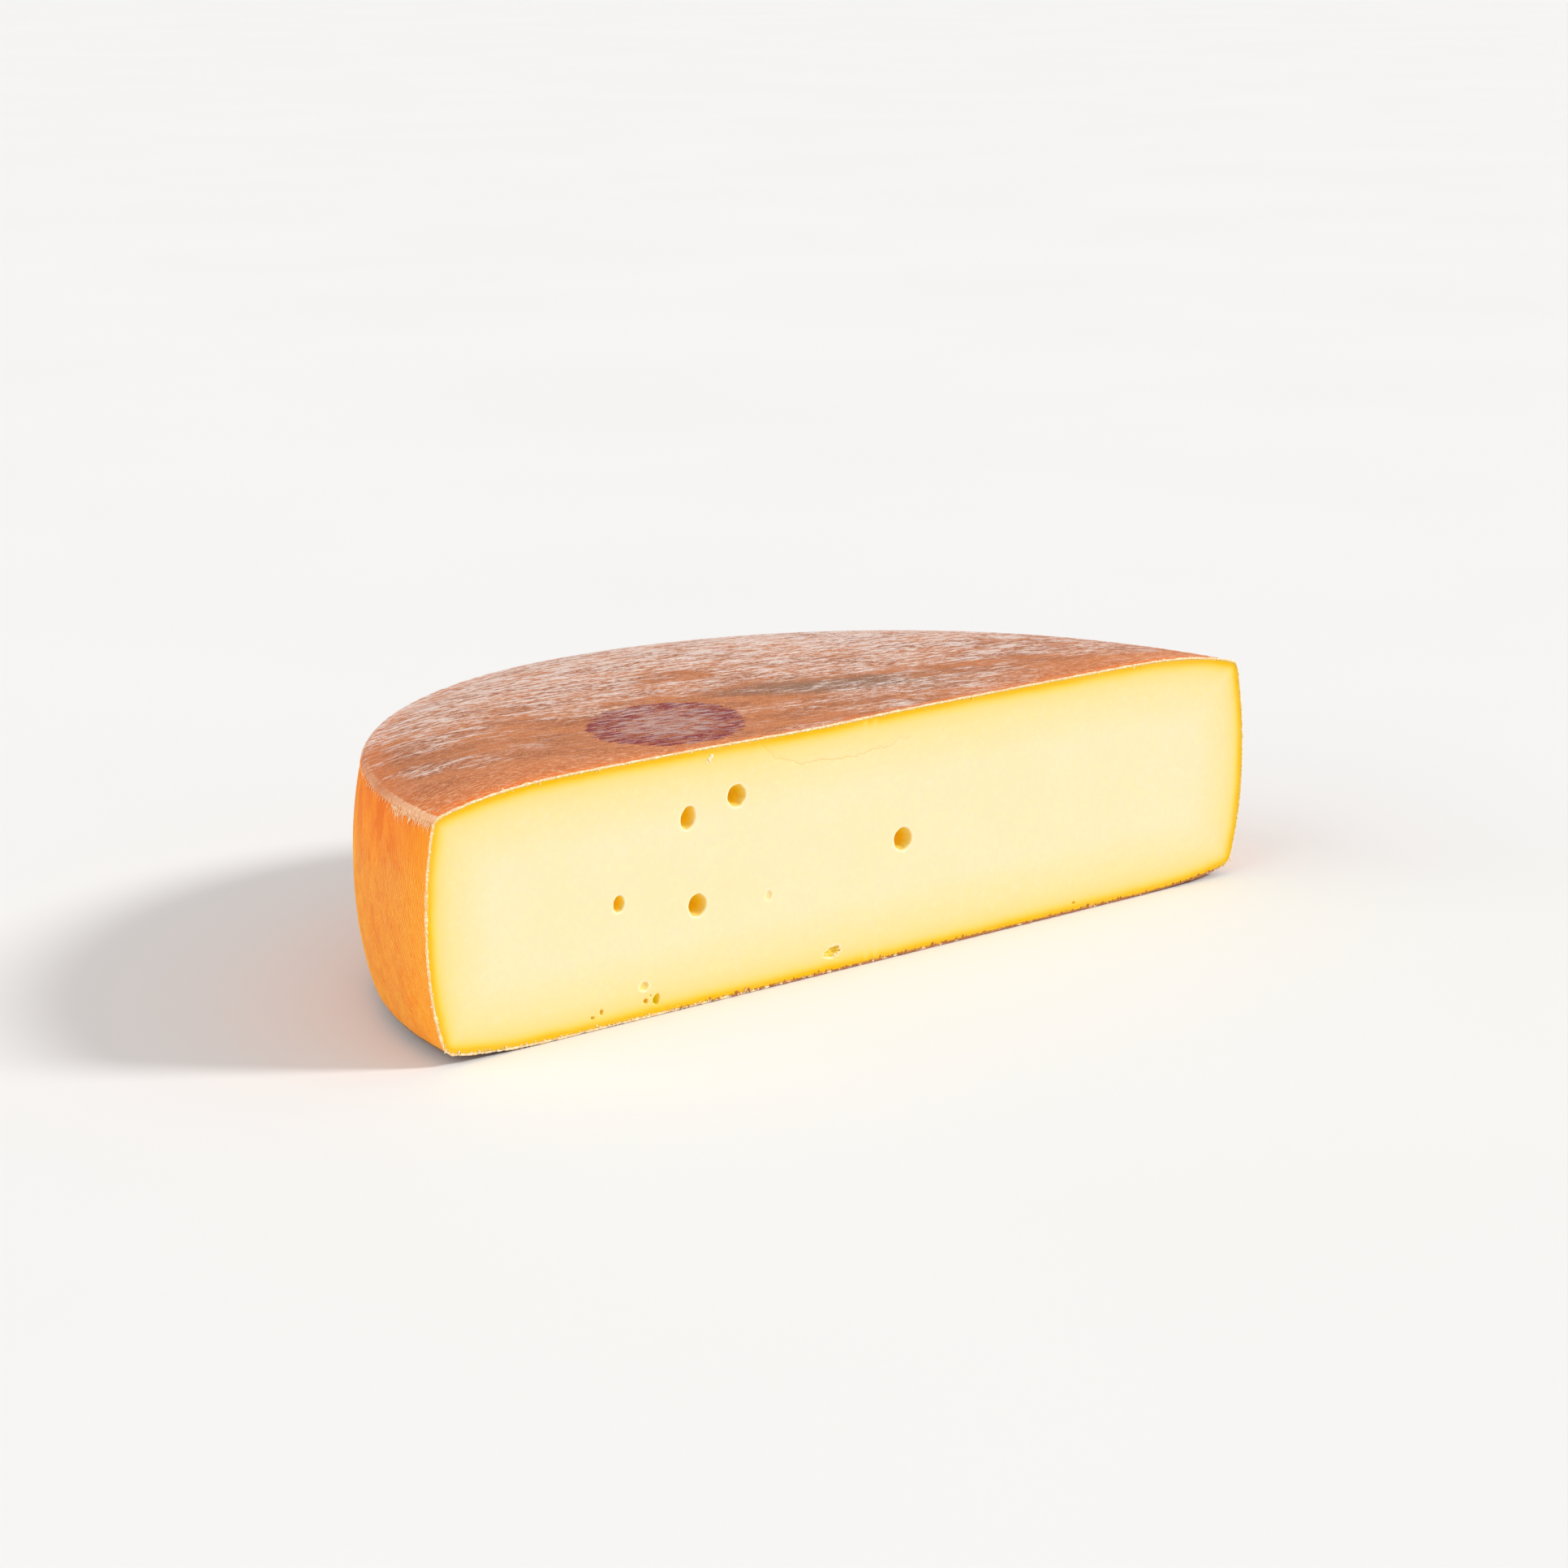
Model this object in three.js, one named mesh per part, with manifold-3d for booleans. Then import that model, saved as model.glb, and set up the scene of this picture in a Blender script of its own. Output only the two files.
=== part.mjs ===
// Half a wheel of raclette cheese: one solid piece, lying on its flat base.
// Millimetres, +Z up. +X runs along the cut, the cut face looks towards -Y, and the
// origin is the middle of the underside of the half wheel's bounding box.
import * as THREE from "three";
import { mergeVertices } from "three/addons/utils/BufferGeometryUtils.js";
import Module from "manifold-3d";

// The whole wheel, before it was halved
const WHEEL_RADIUS = 150; // at the widest point of the bulging side
const WHEEL_HEIGHT = 72.5; // at the middle of the top
const WIDEST_HEIGHT = 37; // height at which the side bulges most
const ROUND_STEPS = 124; // facets round the whole wheel

// The top: flat in the middle, sinking towards its rim
const TOP_FLAT_RADIUS = 92;
const TOP_DROOP = 5.3;
const TOP_RIM_INSET = 3.5; // rim inside the widest radius
const TOP_ROUNDING = 2.2; // how far the rim's rounding runs along each face

// The base: flat where it rests, lifting a little towards its rim
const BASE_FLAT_RADIUS = 100;
const BASE_LIFT = 3.15;
const BASE_RIM_INSET = 4.9;
const BASE_ROUNDING = 3;

// How the faces curve: powers of the way from where they are flat or upright to the rim
const EDGE_CURVE = 3;
const SIDE_CURVE_UP = 2.13;
const SIDE_CURVE_DOWN = 2.27;

// Steps along each stretch of the outline
const FLAT_STEPS = 4;
const EDGE_STEPS = 6;
const ROUNDING_STEPS = 3;
const SIDE_STEPS = 12;

// Unevenness of a wheel pressed and turned by hand: waves round the side, which vanish at
// both ends of the cut, and wide shallow hollows in the top, placed from the wheel's middle
const SIDE_WAVES = [
  { perTurn: 4, depth: 0.5 },
  { perTurn: 6, depth: -0.35 },
];
const TOP_HOLLOWS = [
  { x: -22, y: 14, reach: 26, depth: 0.6 },
  { x: 58, y: 66, reach: 34, depth: 0.5 },
  { x: -58, y: 92, reach: 30, depth: 0.4 },
  { x: 104, y: 30, reach: 22, depth: 0.35 },
];

// The cut: one straight pass of the knife, a little behind the wheel's middle
const CUT_BEHIND_MIDDLE = 7;
const WHEEL_MIDDLE_Y = -(CUT_BEHIND_MIDDLE + (WHEEL_RADIUS - CUT_BEHIND_MIDDLE) / 2);
const CUT_Y = WHEEL_MIDDLE_Y + CUT_BEHIND_MIDDLE;

// Gas holes that the knife opened in the cut face. x and z are the middle of each mouth, width
// and height its size, lean its turn in degrees, depth how far it reaches into the paste.
const ROUND_EYES = [
  { x: -64.5, z: 53.6, width: 5, height: 6.8, depth: 4.4, lean: -16 },
  { x: -47.7, z: 57.1, width: 6.4, height: 6.4, depth: 5, lean: -8 },
  { x: -88.1, z: 33.8, width: 3.8, height: 4.8, depth: 3.2, lean: -6 },
  { x: -61.6, z: 28.5, width: 6.3, height: 6.5, depth: 5.2, lean: 0 },
  { x: 12.1, z: 34.4, width: 6.8, height: 6.8, depth: 5.4, lean: 8 },
];
const SMALL_EYES = [
  { x: -76.2, z: 4.6, width: 2.4, height: 3.2, depth: 2, lean: -20 },
  { x: -79.8, z: 4.8, width: 1.7, height: 1.5, depth: 1.4, lean: 0 },
  { x: -94.6, z: 4.7, width: 1.3, height: 1.8, depth: 1.2, lean: 0 },
  { x: -97.6, z: 3.7, width: 1.4, height: 1.1, depth: 1, lean: 0 },
  { x: 79.2, z: 2.8, width: 1.6, height: 0.9, depth: 0.9, lean: 0 },
];
// Shallow dimples, and the torn pit low in the middle, which is three of them run together
const DIMPLES = [
  { x: -80.2, z: 9.1, width: 3.1, height: 2.6, depth: 0.7, lean: 0 },
  { x: -36.9, z: 26.7, width: 2.6, height: 2.8, depth: 0.45, lean: -20 },
  { x: -15.6, z: 5.6, width: 3.2, height: 2.5, depth: 1.1, lean: 24 },
  { x: -12.4, z: 6.3, width: 3.2, height: 3.1, depth: 1.2, lean: -30 },
  { x: -14.2, z: 5.5, width: 2.8, height: 2.2, depth: 0.9, lean: 0 },
];
const ROUND_EYE_FACETS = 18;
const SMALL_EYE_FACETS = 10;

// How far an eye's widest section lies behind the cut, as a share of its half depth
const EYE_SET_BACK = 0.35;
const DIMPLE_SET_BACK = -0.45;

const wasm = await Module();
wasm.setup();

// A closed geometry as a solid, with shared vertices merged and the slivers at poles dropped
function toSolid(geometry) {
  geometry.deleteAttribute("normal");
  geometry.deleteAttribute("uv");
  const merged = mergeVertices(geometry);
  const corners = merged.index.array;
  const kept = [];
  for (let i = 0; i < corners.length; i += 3) {
    const [a, b, c] = corners.subarray(i, i + 3);
    if (a !== b && b !== c && c !== a) kept.push(a, b, c);
  }
  const vertProperties = new Float32Array(merged.attributes.position.array);
  const triVerts = new Uint32Array(kept);
  return new wasm.Manifold(new wasm.Mesh({ numProp: 3, vertProperties, triVerts }));
}

function toGeometry(solid) {
  const { vertProperties, triVerts } = solid.getMesh();
  const geometry = new THREE.BufferGeometry();
  geometry.setAttribute("position", new THREE.BufferAttribute(vertProperties, 3));
  geometry.setIndex(new THREE.BufferAttribute(triVerts, 1));
  geometry.computeVertexNormals();
  return geometry;
}

// Points of a curve at even steps of its parameter, both ends included
function stretch(curve, from, to, steps) {
  return Array.from({ length: steps + 1 }, (_, i) => curve(from + ((to - from) * i) / steps));
}

// The rounding between two stretches, which bends round the corner they would meet in
function rounding(start, corner, end) {
  const bend = new THREE.QuadraticBezierCurve(start, corner, end);
  return bend.getPoints(ROUNDING_STEPS + 1).slice(1, -1);
}

// The wheel's outline from the middle of the base, out round the side, to the middle of the top
function wheelOutline() {
  const baseRim = new THREE.Vector2(WHEEL_RADIUS - BASE_RIM_INSET, BASE_LIFT);
  const topRim = new THREE.Vector2(WHEEL_RADIUS - TOP_RIM_INSET, WHEEL_HEIGHT - TOP_DROOP);
  const base = (r) => {
    const way = Math.max(0, (r - BASE_FLAT_RADIUS) / (baseRim.x - BASE_FLAT_RADIUS));
    return new THREE.Vector2(r, BASE_LIFT * way ** EDGE_CURVE);
  };
  const top = (r) => {
    const way = Math.max(0, (r - TOP_FLAT_RADIUS) / (topRim.x - TOP_FLAT_RADIUS));
    return new THREE.Vector2(r, WHEEL_HEIGHT - TOP_DROOP * way ** EDGE_CURVE);
  };
  const side = (z) => {
    const above = z > WIDEST_HEIGHT;
    const rim = above ? topRim : baseRim;
    const way = (z - WIDEST_HEIGHT) / (rim.y - WIDEST_HEIGHT);
    const inset = (WHEEL_RADIUS - rim.x) * way ** (above ? SIDE_CURVE_UP : SIDE_CURVE_DOWN);
    return new THREE.Vector2(WHEEL_RADIUS - inset, z);
  };
  const baseEdge = stretch(base, BASE_FLAT_RADIUS, baseRim.x - BASE_ROUNDING, EDGE_STEPS);
  const wall = stretch(side, baseRim.y + BASE_ROUNDING, topRim.y - TOP_ROUNDING, SIDE_STEPS);
  const topEdge = stretch(top, topRim.x - TOP_ROUNDING, TOP_FLAT_RADIUS, EDGE_STEPS);
  return [
    ...stretch(base, 0, BASE_FLAT_RADIUS, FLAT_STEPS).slice(0, -1),
    ...baseEdge,
    ...rounding(baseEdge.at(-1), baseRim, wall[0]),
    ...wall,
    ...rounding(wall.at(-1), topRim, topEdge[0]),
    ...topEdge,
    ...stretch(top, TOP_FLAT_RADIUS, 0, FLAT_STEPS).slice(1),
  ];
}

// Works the waves and hollows into a wheel that stands on its middle at the origin. The base
// stays flat: a hollow takes its share of each point's height.
function workByHand(geometry) {
  const place = geometry.attributes.position;
  for (let i = 0; i < place.count; i += 1) {
    const x = place.getX(i);
    const y = place.getY(i);
    const turn = Math.atan2(y, x);
    const nearSide = (Math.hypot(x, y) / WHEEL_RADIUS) ** 4;
    const wave = SIDE_WAVES.reduce((sum, w) => sum + w.depth * Math.sin(w.perTurn * turn), 0);
    const spread = 1 + (nearSide * wave) / WHEEL_RADIUS;
    const hollow = TOP_HOLLOWS.reduce((sum, h) => {
      const away = Math.hypot(x - h.x, y - h.y) / h.reach;
      return sum + h.depth * Math.exp(-away * away);
    }, 0);
    place.setXYZ(i, x * spread, y * spread, place.getZ(i) * (1 - hollow / WHEEL_HEIGHT));
  }
}

function wholeWheel() {
  const geometry = new THREE.LatheGeometry(wheelOutline(), ROUND_STEPS);
  geometry.rotateX(Math.PI / 2);
  workByHand(geometry);
  geometry.translate(0, WHEEL_MIDDLE_Y, 0);
  return toSolid(geometry);
}

// The front of the wheel, which the knife took away
function takenFront() {
  const reach = 2 * WHEEL_RADIUS;
  const geometry = new THREE.BoxGeometry(2 * reach, reach, reach);
  geometry.translate(0, CUT_Y - reach / 2, 0);
  return toSolid(geometry);
}

// One gas hole: an egg-shaped hollow whose mouth in the cut has the size that its entry gives
function eye({ x, z, width, height, depth, lean }, facets, setBack) {
  const halfDepth = depth / (1 + setBack);
  const mouthShare = Math.sqrt(1 - setBack ** 2);
  const geometry = new THREE.SphereGeometry(1, facets, Math.ceil(facets / 2));
  geometry.scale(width / 2 / mouthShare, halfDepth, height / 2 / mouthShare);
  geometry.rotateY(THREE.MathUtils.degToRad(-lean));
  geometry.translate(x, CUT_Y + setBack * halfDepth, z);
  return toSolid(geometry);
}

function halfWheel() {
  let cheese = wholeWheel().subtract(takenFront());
  for (const size of ROUND_EYES) {
    cheese = cheese.subtract(eye(size, ROUND_EYE_FACETS, EYE_SET_BACK));
  }
  for (const size of SMALL_EYES) {
    cheese = cheese.subtract(eye(size, SMALL_EYE_FACETS, EYE_SET_BACK));
  }
  for (const size of DIMPLES) {
    cheese = cheese.subtract(eye(size, SMALL_EYE_FACETS, DIMPLE_SET_BACK));
  }
  return toGeometry(cheese);
}

// Pale butter-yellow paste inside an orange-brown brushed rind
const cheeseMaterial = new THREE.MeshStandardMaterial({
  color: 0xf4d98f,
  roughness: 0.5,
  metalness: 0,
});

const half = new THREE.Mesh(halfWheel(), cheeseMaterial);
half.name = "half_wheel";

const group = new THREE.Group();
group.add(half);

export default group;
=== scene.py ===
"""Looks of a raclette half wheel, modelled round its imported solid.

Everything is in metres, in the axes of the solid: +X runs along the cut, the cut face looks
towards -Y, and +Z is up from the base that the half wheel rests on. The cheese is made of its
paste, three stretches of rind, the torn lip that the knife left round the cut, the brushed
fringe under the rim, and the crumbs.
"""

import logging
import math
from dataclasses import dataclass
from enum import Enum
from functools import reduce

import bmesh
import bpy
import numpy as np
from mathutils import Matrix, Vector, kdtree, noise
from mathutils.geometry import delaunay_2d_cdt


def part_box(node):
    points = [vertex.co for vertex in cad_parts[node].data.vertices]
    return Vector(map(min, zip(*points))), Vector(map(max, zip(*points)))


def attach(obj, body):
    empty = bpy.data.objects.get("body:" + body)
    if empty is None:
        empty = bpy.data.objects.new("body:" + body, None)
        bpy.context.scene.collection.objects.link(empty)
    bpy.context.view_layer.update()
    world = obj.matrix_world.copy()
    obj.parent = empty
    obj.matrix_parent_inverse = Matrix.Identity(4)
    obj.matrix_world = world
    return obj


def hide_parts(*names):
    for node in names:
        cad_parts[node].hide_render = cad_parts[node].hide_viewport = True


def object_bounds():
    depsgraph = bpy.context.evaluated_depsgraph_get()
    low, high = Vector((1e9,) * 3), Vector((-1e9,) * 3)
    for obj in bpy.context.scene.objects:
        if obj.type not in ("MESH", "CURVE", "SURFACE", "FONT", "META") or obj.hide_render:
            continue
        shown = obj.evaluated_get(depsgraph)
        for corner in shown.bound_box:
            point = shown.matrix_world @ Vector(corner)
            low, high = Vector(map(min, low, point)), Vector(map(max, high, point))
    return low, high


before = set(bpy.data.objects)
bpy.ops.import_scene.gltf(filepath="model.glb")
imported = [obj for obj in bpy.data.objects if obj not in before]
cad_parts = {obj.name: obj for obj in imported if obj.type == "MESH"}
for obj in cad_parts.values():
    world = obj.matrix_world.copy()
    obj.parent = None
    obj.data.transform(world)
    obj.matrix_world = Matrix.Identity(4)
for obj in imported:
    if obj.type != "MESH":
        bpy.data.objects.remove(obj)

log = logging.getLogger("half_wheel")

MM = 0.001
SOLID = "half_wheel"
BODY = "root"
CAD_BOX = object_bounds()
WIDE = 1000.0  # size, in millimetres, of noise that hardly changes along an axis
STREAKS = (1.7, 11.0, WIDE)  # size of the bloom's streaks, in millimetres
MARGIN = 0.15 * MM  # how far inside the solid's box the crumbs and strands are kept

Socket = bpy.types.NodeSocket
Source = bpy.types.NodeSocket | float | int | tuple
Colour = tuple[float, float, float, float]
Pair = tuple[np.ndarray, np.ndarray]
Triple = tuple[float, float, float]
Faces = list[tuple[int, ...]]
Marks = dict[str, list[np.ndarray]]
Spans = dict[str, list[slice]]


class Slot(Enum):
    """The material slots of the record, listed beside each piece in main, where nothing reads them."""

    PASTE = "paste"
    RIND = "rind"


class Layer(Enum):
    """The values that the pieces' points carry for their shaping and their finishes."""

    RIND_DEPTH = "rind_depth"
    HOLLOW = "hollow"
    HALO = "halo"
    CRACK_SHADE = "crack"
    ROUND_WAY = "round_way"
    RIM_WAY = "rim_way"
    ACROSS = "across_ribs"
    ALONG = "along_ribs"
    RIB = "rib"
    SECTION = "section"
    RADIUS = "row_radius"
    HEIGHT = "row_height"
    OUT_RADIUS = "row_out_radius"
    OUT_HEIGHT = "row_out_height"
    SHARE = "share_round"
    OUTER = "outer_skin"
    END_WAY = "end_way"
    SIZE = "size"
    DOWN = "down"
    OUT = "out"


def srgb(red: int, green: int, blue: int) -> Colour:
    """Turns a colour as a screen shows it, 0 to 255, into the linear one that shaders take.

    Args:
        red: red as shown.
        green: green as shown.
        blue: blue as shown.

    Returns:
        Linear red, green and blue, and full cover.
    """
    shown = np.array([red, green, blue]) / 255.0
    linear = np.where(shown <= 0.04045, shown / 12.92, ((shown + 0.055) / 1.055) ** 2.4)
    return (*map(float, linear), 1.0)


def smooth_step(values: np.ndarray, low: float, high: float) -> np.ndarray:
    """Eases values from 0 at low to 1 at high."""
    way = np.clip((values - low) / (high - low), 0.0, 1.0)
    return way * way * (3.0 - 2.0 * way)


def unit(rows: np.ndarray) -> np.ndarray:
    """Gives each row of a table the length 1."""
    return rows / np.linalg.norm(rows, axis=1)[:, None]


def ways_along(points: np.ndarray) -> np.ndarray:
    """Measures the way along a line of points to each of them."""
    return np.concatenate([[0.0], np.cumsum(np.linalg.norm(np.diff(points, axis=0), axis=1))])


def noise_at(places: np.ndarray, reach: Triple, seed: float) -> np.ndarray:
    """Gives smooth noise, from about -1 to 1, in patches of a size, at rows of x, y, z."""
    scaled = places / np.array(reach) + seed
    return np.array([noise.noise(Vector(row)) for row in scaled])


class Wiring:
    """Adds nodes to one tree and joins them."""

    def __init__(self, tree: bpy.types.NodeTree) -> None:
        """Takes the tree that the nodes go into."""
        self.tree = tree

    def feed(self, socket: Socket, source: Source) -> None:
        """Joins a source to a socket, or sets the socket's own value.

        Args:
            socket: an input.
            source: an output, or a plain value.
        """
        if isinstance(source, bpy.types.NodeSocket):
            self.tree.links.new(source, socket)
        else:
            socket.default_value = source

    def add(self, kind: str, feeds: dict | None = None, **settings: object) -> bpy.types.Node:
        """Adds one node.

        Args:
            kind: Blender's name for the kind of node.
            feeds: what each input gets, by the input's name or place.
            settings: the node's own settings.

        Returns:
            The node.
        """
        node = self.tree.nodes.new(kind)
        for name, value in settings.items():
            setattr(node, name, value)
        for key, source in (feeds or {}).items():
            self.feed(node.inputs[key], source)
        return node

    def out(self, kind: str, feeds: dict | None = None, **settings: object) -> Socket:
        """Adds one node and gives its first output."""
        return self.add(kind, feeds, **settings).outputs[0]

    def maths(self, operation: str, *sources: Source, clamp: bool = False) -> Socket:
        """Adds a step of arithmetic, by Blender's name for it; clamp keeps it from 0 to 1."""
        feeds = dict(enumerate(sources))
        return self.out("ShaderNodeMath", feeds, operation=operation, use_clamp=clamp)

    def linear(self, value: Source, factor: Source, added: Source) -> Socket:
        """Multiplies a value by a factor and adds something."""
        return self.maths("MULTIPLY_ADD", value, factor, added)

    def product(self, *sources: Source) -> Socket:
        """Multiplies two or more values."""
        return reduce(lambda first, second: self.maths("MULTIPLY", first, second), sources)

    def vector(self, operation: str, first: Source, second: Source) -> Socket:
        """Works on two vectors, by Blender's name for it; SCALE takes a number second."""
        feeds = {0: first, ("Scale" if operation == "SCALE" else 1): second}
        return self.out("ShaderNodeVectorMath", feeds, operation=operation)

    def joined(self, x: Source, y: Source, z: Source = 0.0) -> Socket:
        """Joins two or three numbers into a vector."""
        return self.out("ShaderNodeCombineXYZ", {0: x, 1: y, 2: z})

    def part(self, vector: Source, axis: int) -> Socket:
        """Takes one number out of a vector."""
        return self.add("ShaderNodeSeparateXYZ", {0: vector}).outputs[axis]

    def ease(
        self, value: Source, low: Source, high: Source, start: Source = 0.0, end: Source = 1.0
    ) -> Socket:
        """Eases from start, where the value is low, to end, where the value is high."""
        feeds = {0: value, 1: low, 2: high, 3: start, 4: end}
        return self.out("ShaderNodeMapRange", feeds, interpolation_type="SMOOTHSTEP")

    def blend(self, share: Source, first: Source, second: Source) -> Socket:
        """Mixes two colours, by the share of the second."""
        feeds = {0: share, 6: first, 7: second}
        return self.add("ShaderNodeMix", feeds, data_type="RGBA").outputs[2]

    def ramp(self, value: Source, stops: list[tuple[float, Colour]]) -> Socket:
        """Turns a value into a colour.

        Args:
            value: what picks the colour, from 0 to 1.
            stops: places from 0 to 1, each with its colour.

        Returns:
            The colour's output.
        """
        node = self.add("ShaderNodeValToRGB", {"Fac": value})
        elements = node.color_ramp.elements
        while len(elements) < len(stops):
            elements.new(0.5)
        for element, (place, colour) in zip(elements, stops):
            element.position = place
            element.color = colour
        return node.outputs["Color"]

    def cloud(
        self,
        vector: Source,
        sizes: Triple,
        detail: float = 3.0,
        rough: float = 0.5,
        seed: float = 0.0,
    ) -> Socket:
        """Adds smooth noise.

        Args:
            vector: the coordinates.
            sizes: size of the noise's patches along each axis, in millimetres.
            detail: finer layers on top of the first.
            rough: strength of the finer layers.
            seed: shifts the noise, so that two uses differ.

        Returns:
            The noise's output, from 0 to 1.
        """
        scaled = self.vector("MULTIPLY", vector, tuple(1.0 / (size * MM) for size in sizes))
        if seed:
            scaled = self.vector("ADD", scaled, (seed, seed * 0.7, seed * 1.3))
        feeds = {"Vector": scaled, "Scale": 1.0, "Detail": detail, "Roughness": rough}
        return self.out("ShaderNodeTexNoise", feeds)

    def ribs(self, across: Source, pitch: float, bend: Source) -> Socket:
        """Adds evenly spaced ribs.

        Args:
            across: way across the ribs.
            pitch: distance from rib to rib.
            bend: what each rib is moved by, as a share of the pitch.

        Returns:
            0 between the ribs and 1 on them.
        """
        turns = self.linear(across, 1.0 / pitch, bend)
        wave = self.maths("SINE", self.maths("MULTIPLY", turns, 2.0 * math.pi))
        return self.linear(wave, 0.5, 0.5)


class Finish(Wiring):
    """A material being built: its tree, its main shader, its coordinates and its colour so far."""

    def __init__(self, name: str) -> None:
        """Starts a material with one main shader.

        Args:
            name: the material's name.
        """
        self.material = bpy.data.materials.new(name)
        self.material.use_nodes = True
        super().__init__(self.material.node_tree)
        self.shader = self.tree.nodes["Principled BSDF"]
        self.place = self.add("ShaderNodeTexCoord").outputs["Object"]
        self.colour: Source = (0.0, 0.0, 0.0, 1.0)

    def layer(self, which: Layer) -> Socket:
        """Reads one of the values that the points carry."""
        return self.add("ShaderNodeAttribute", attribute_name=which.value).outputs["Fac"]

    def grain(self) -> Socket:
        """Gives coordinates that run across and along the cloth's ribs."""
        return self.joined(self.layer(Layer.ACROSS), self.layer(Layer.ALONG))

    def set(self, **values: object) -> None:
        """Sets or joins the shader's inputs, with underscores for the spaces in their names."""
        for name, value in values.items():
            self.feed(self.shader.inputs[name.replace("_", " ")], value)

    def scatter(self, weight: Source, reach: Source, spread: Triple) -> None:
        """Lets a share of the light in, as far as the reach times red's, green's and blue's spread."""
        self.set(Subsurface_Weight=weight, Subsurface_Scale=reach, Subsurface_Radius=spread)

    def rough_up(self, height: Source, depth: float, strength: float) -> None:
        """Adds fine relief: its height, its depth from 0 to 1, and how much of it shows."""
        feeds = {"Height": height, "Strength": strength, "Distance": depth}
        self.set(Normal=self.out("ShaderNodeBump", feeds))

    def lay(self, share: Source, colour: Source) -> None:
        """Lays a share of a colour over the colour so far."""
        self.colour = self.blend(share, self.colour, colour)

    def done(self) -> bpy.types.Material:
        """Joins the colour to the shader and gives the material."""
        self.set(Base_Color=self.colour)
        return self.material


@dataclass(frozen=True)
class Wave:
    """A wave round the side of the wheel."""

    per_turn: int
    depth: float


@dataclass(frozen=True)
class Dip:
    """A wide shallow hollow in the top, placed from the wheel's middle."""

    x: float
    y: float
    reach: float
    depth: float


@dataclass(frozen=True)
class Oval:
    """An oval on the top, placed from the wheel's middle and turned by some degrees."""

    x: float
    y: float
    half_length: float
    half_width: float
    turn: float


@dataclass(frozen=True)
class Profile:
    """The wheel's outline in fine steps, from the middle of the base to the middle of the top."""

    points: np.ndarray
    outward: np.ndarray
    ways: np.ndarray
    base_rim: float
    top_rim: float

    @property
    def end(self) -> float:
        """Way to the middle of the top."""
        return float(self.ways[-1])

    def _read(self, table: np.ndarray, at: np.ndarray) -> np.ndarray:
        """Reads a table of two columns at some ways along the outline."""
        return np.column_stack([np.interp(at, self.ways, column) for column in table.T])

    def directions(self, at: np.ndarray) -> np.ndarray:
        """Gives the outward direction at some ways, as radius and height."""
        return unit(self._read(self.outward, at))

    def rows(self, at: np.ndarray, inset: float) -> np.ndarray:
        """Gives the outline's radius and height at some ways.

        Args:
            at: the ways.
            inset: how far under the outline the rows lie.

        Returns:
            Rows of radius and height; the outline's two ends keep their radius.
        """
        rows = self._read(self.points, at) - inset * self.directions(at)
        ends = (at <= 0.0) | (at >= self.end)
        rows[ends, 0] = self.points[0, 0]
        return rows


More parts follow.
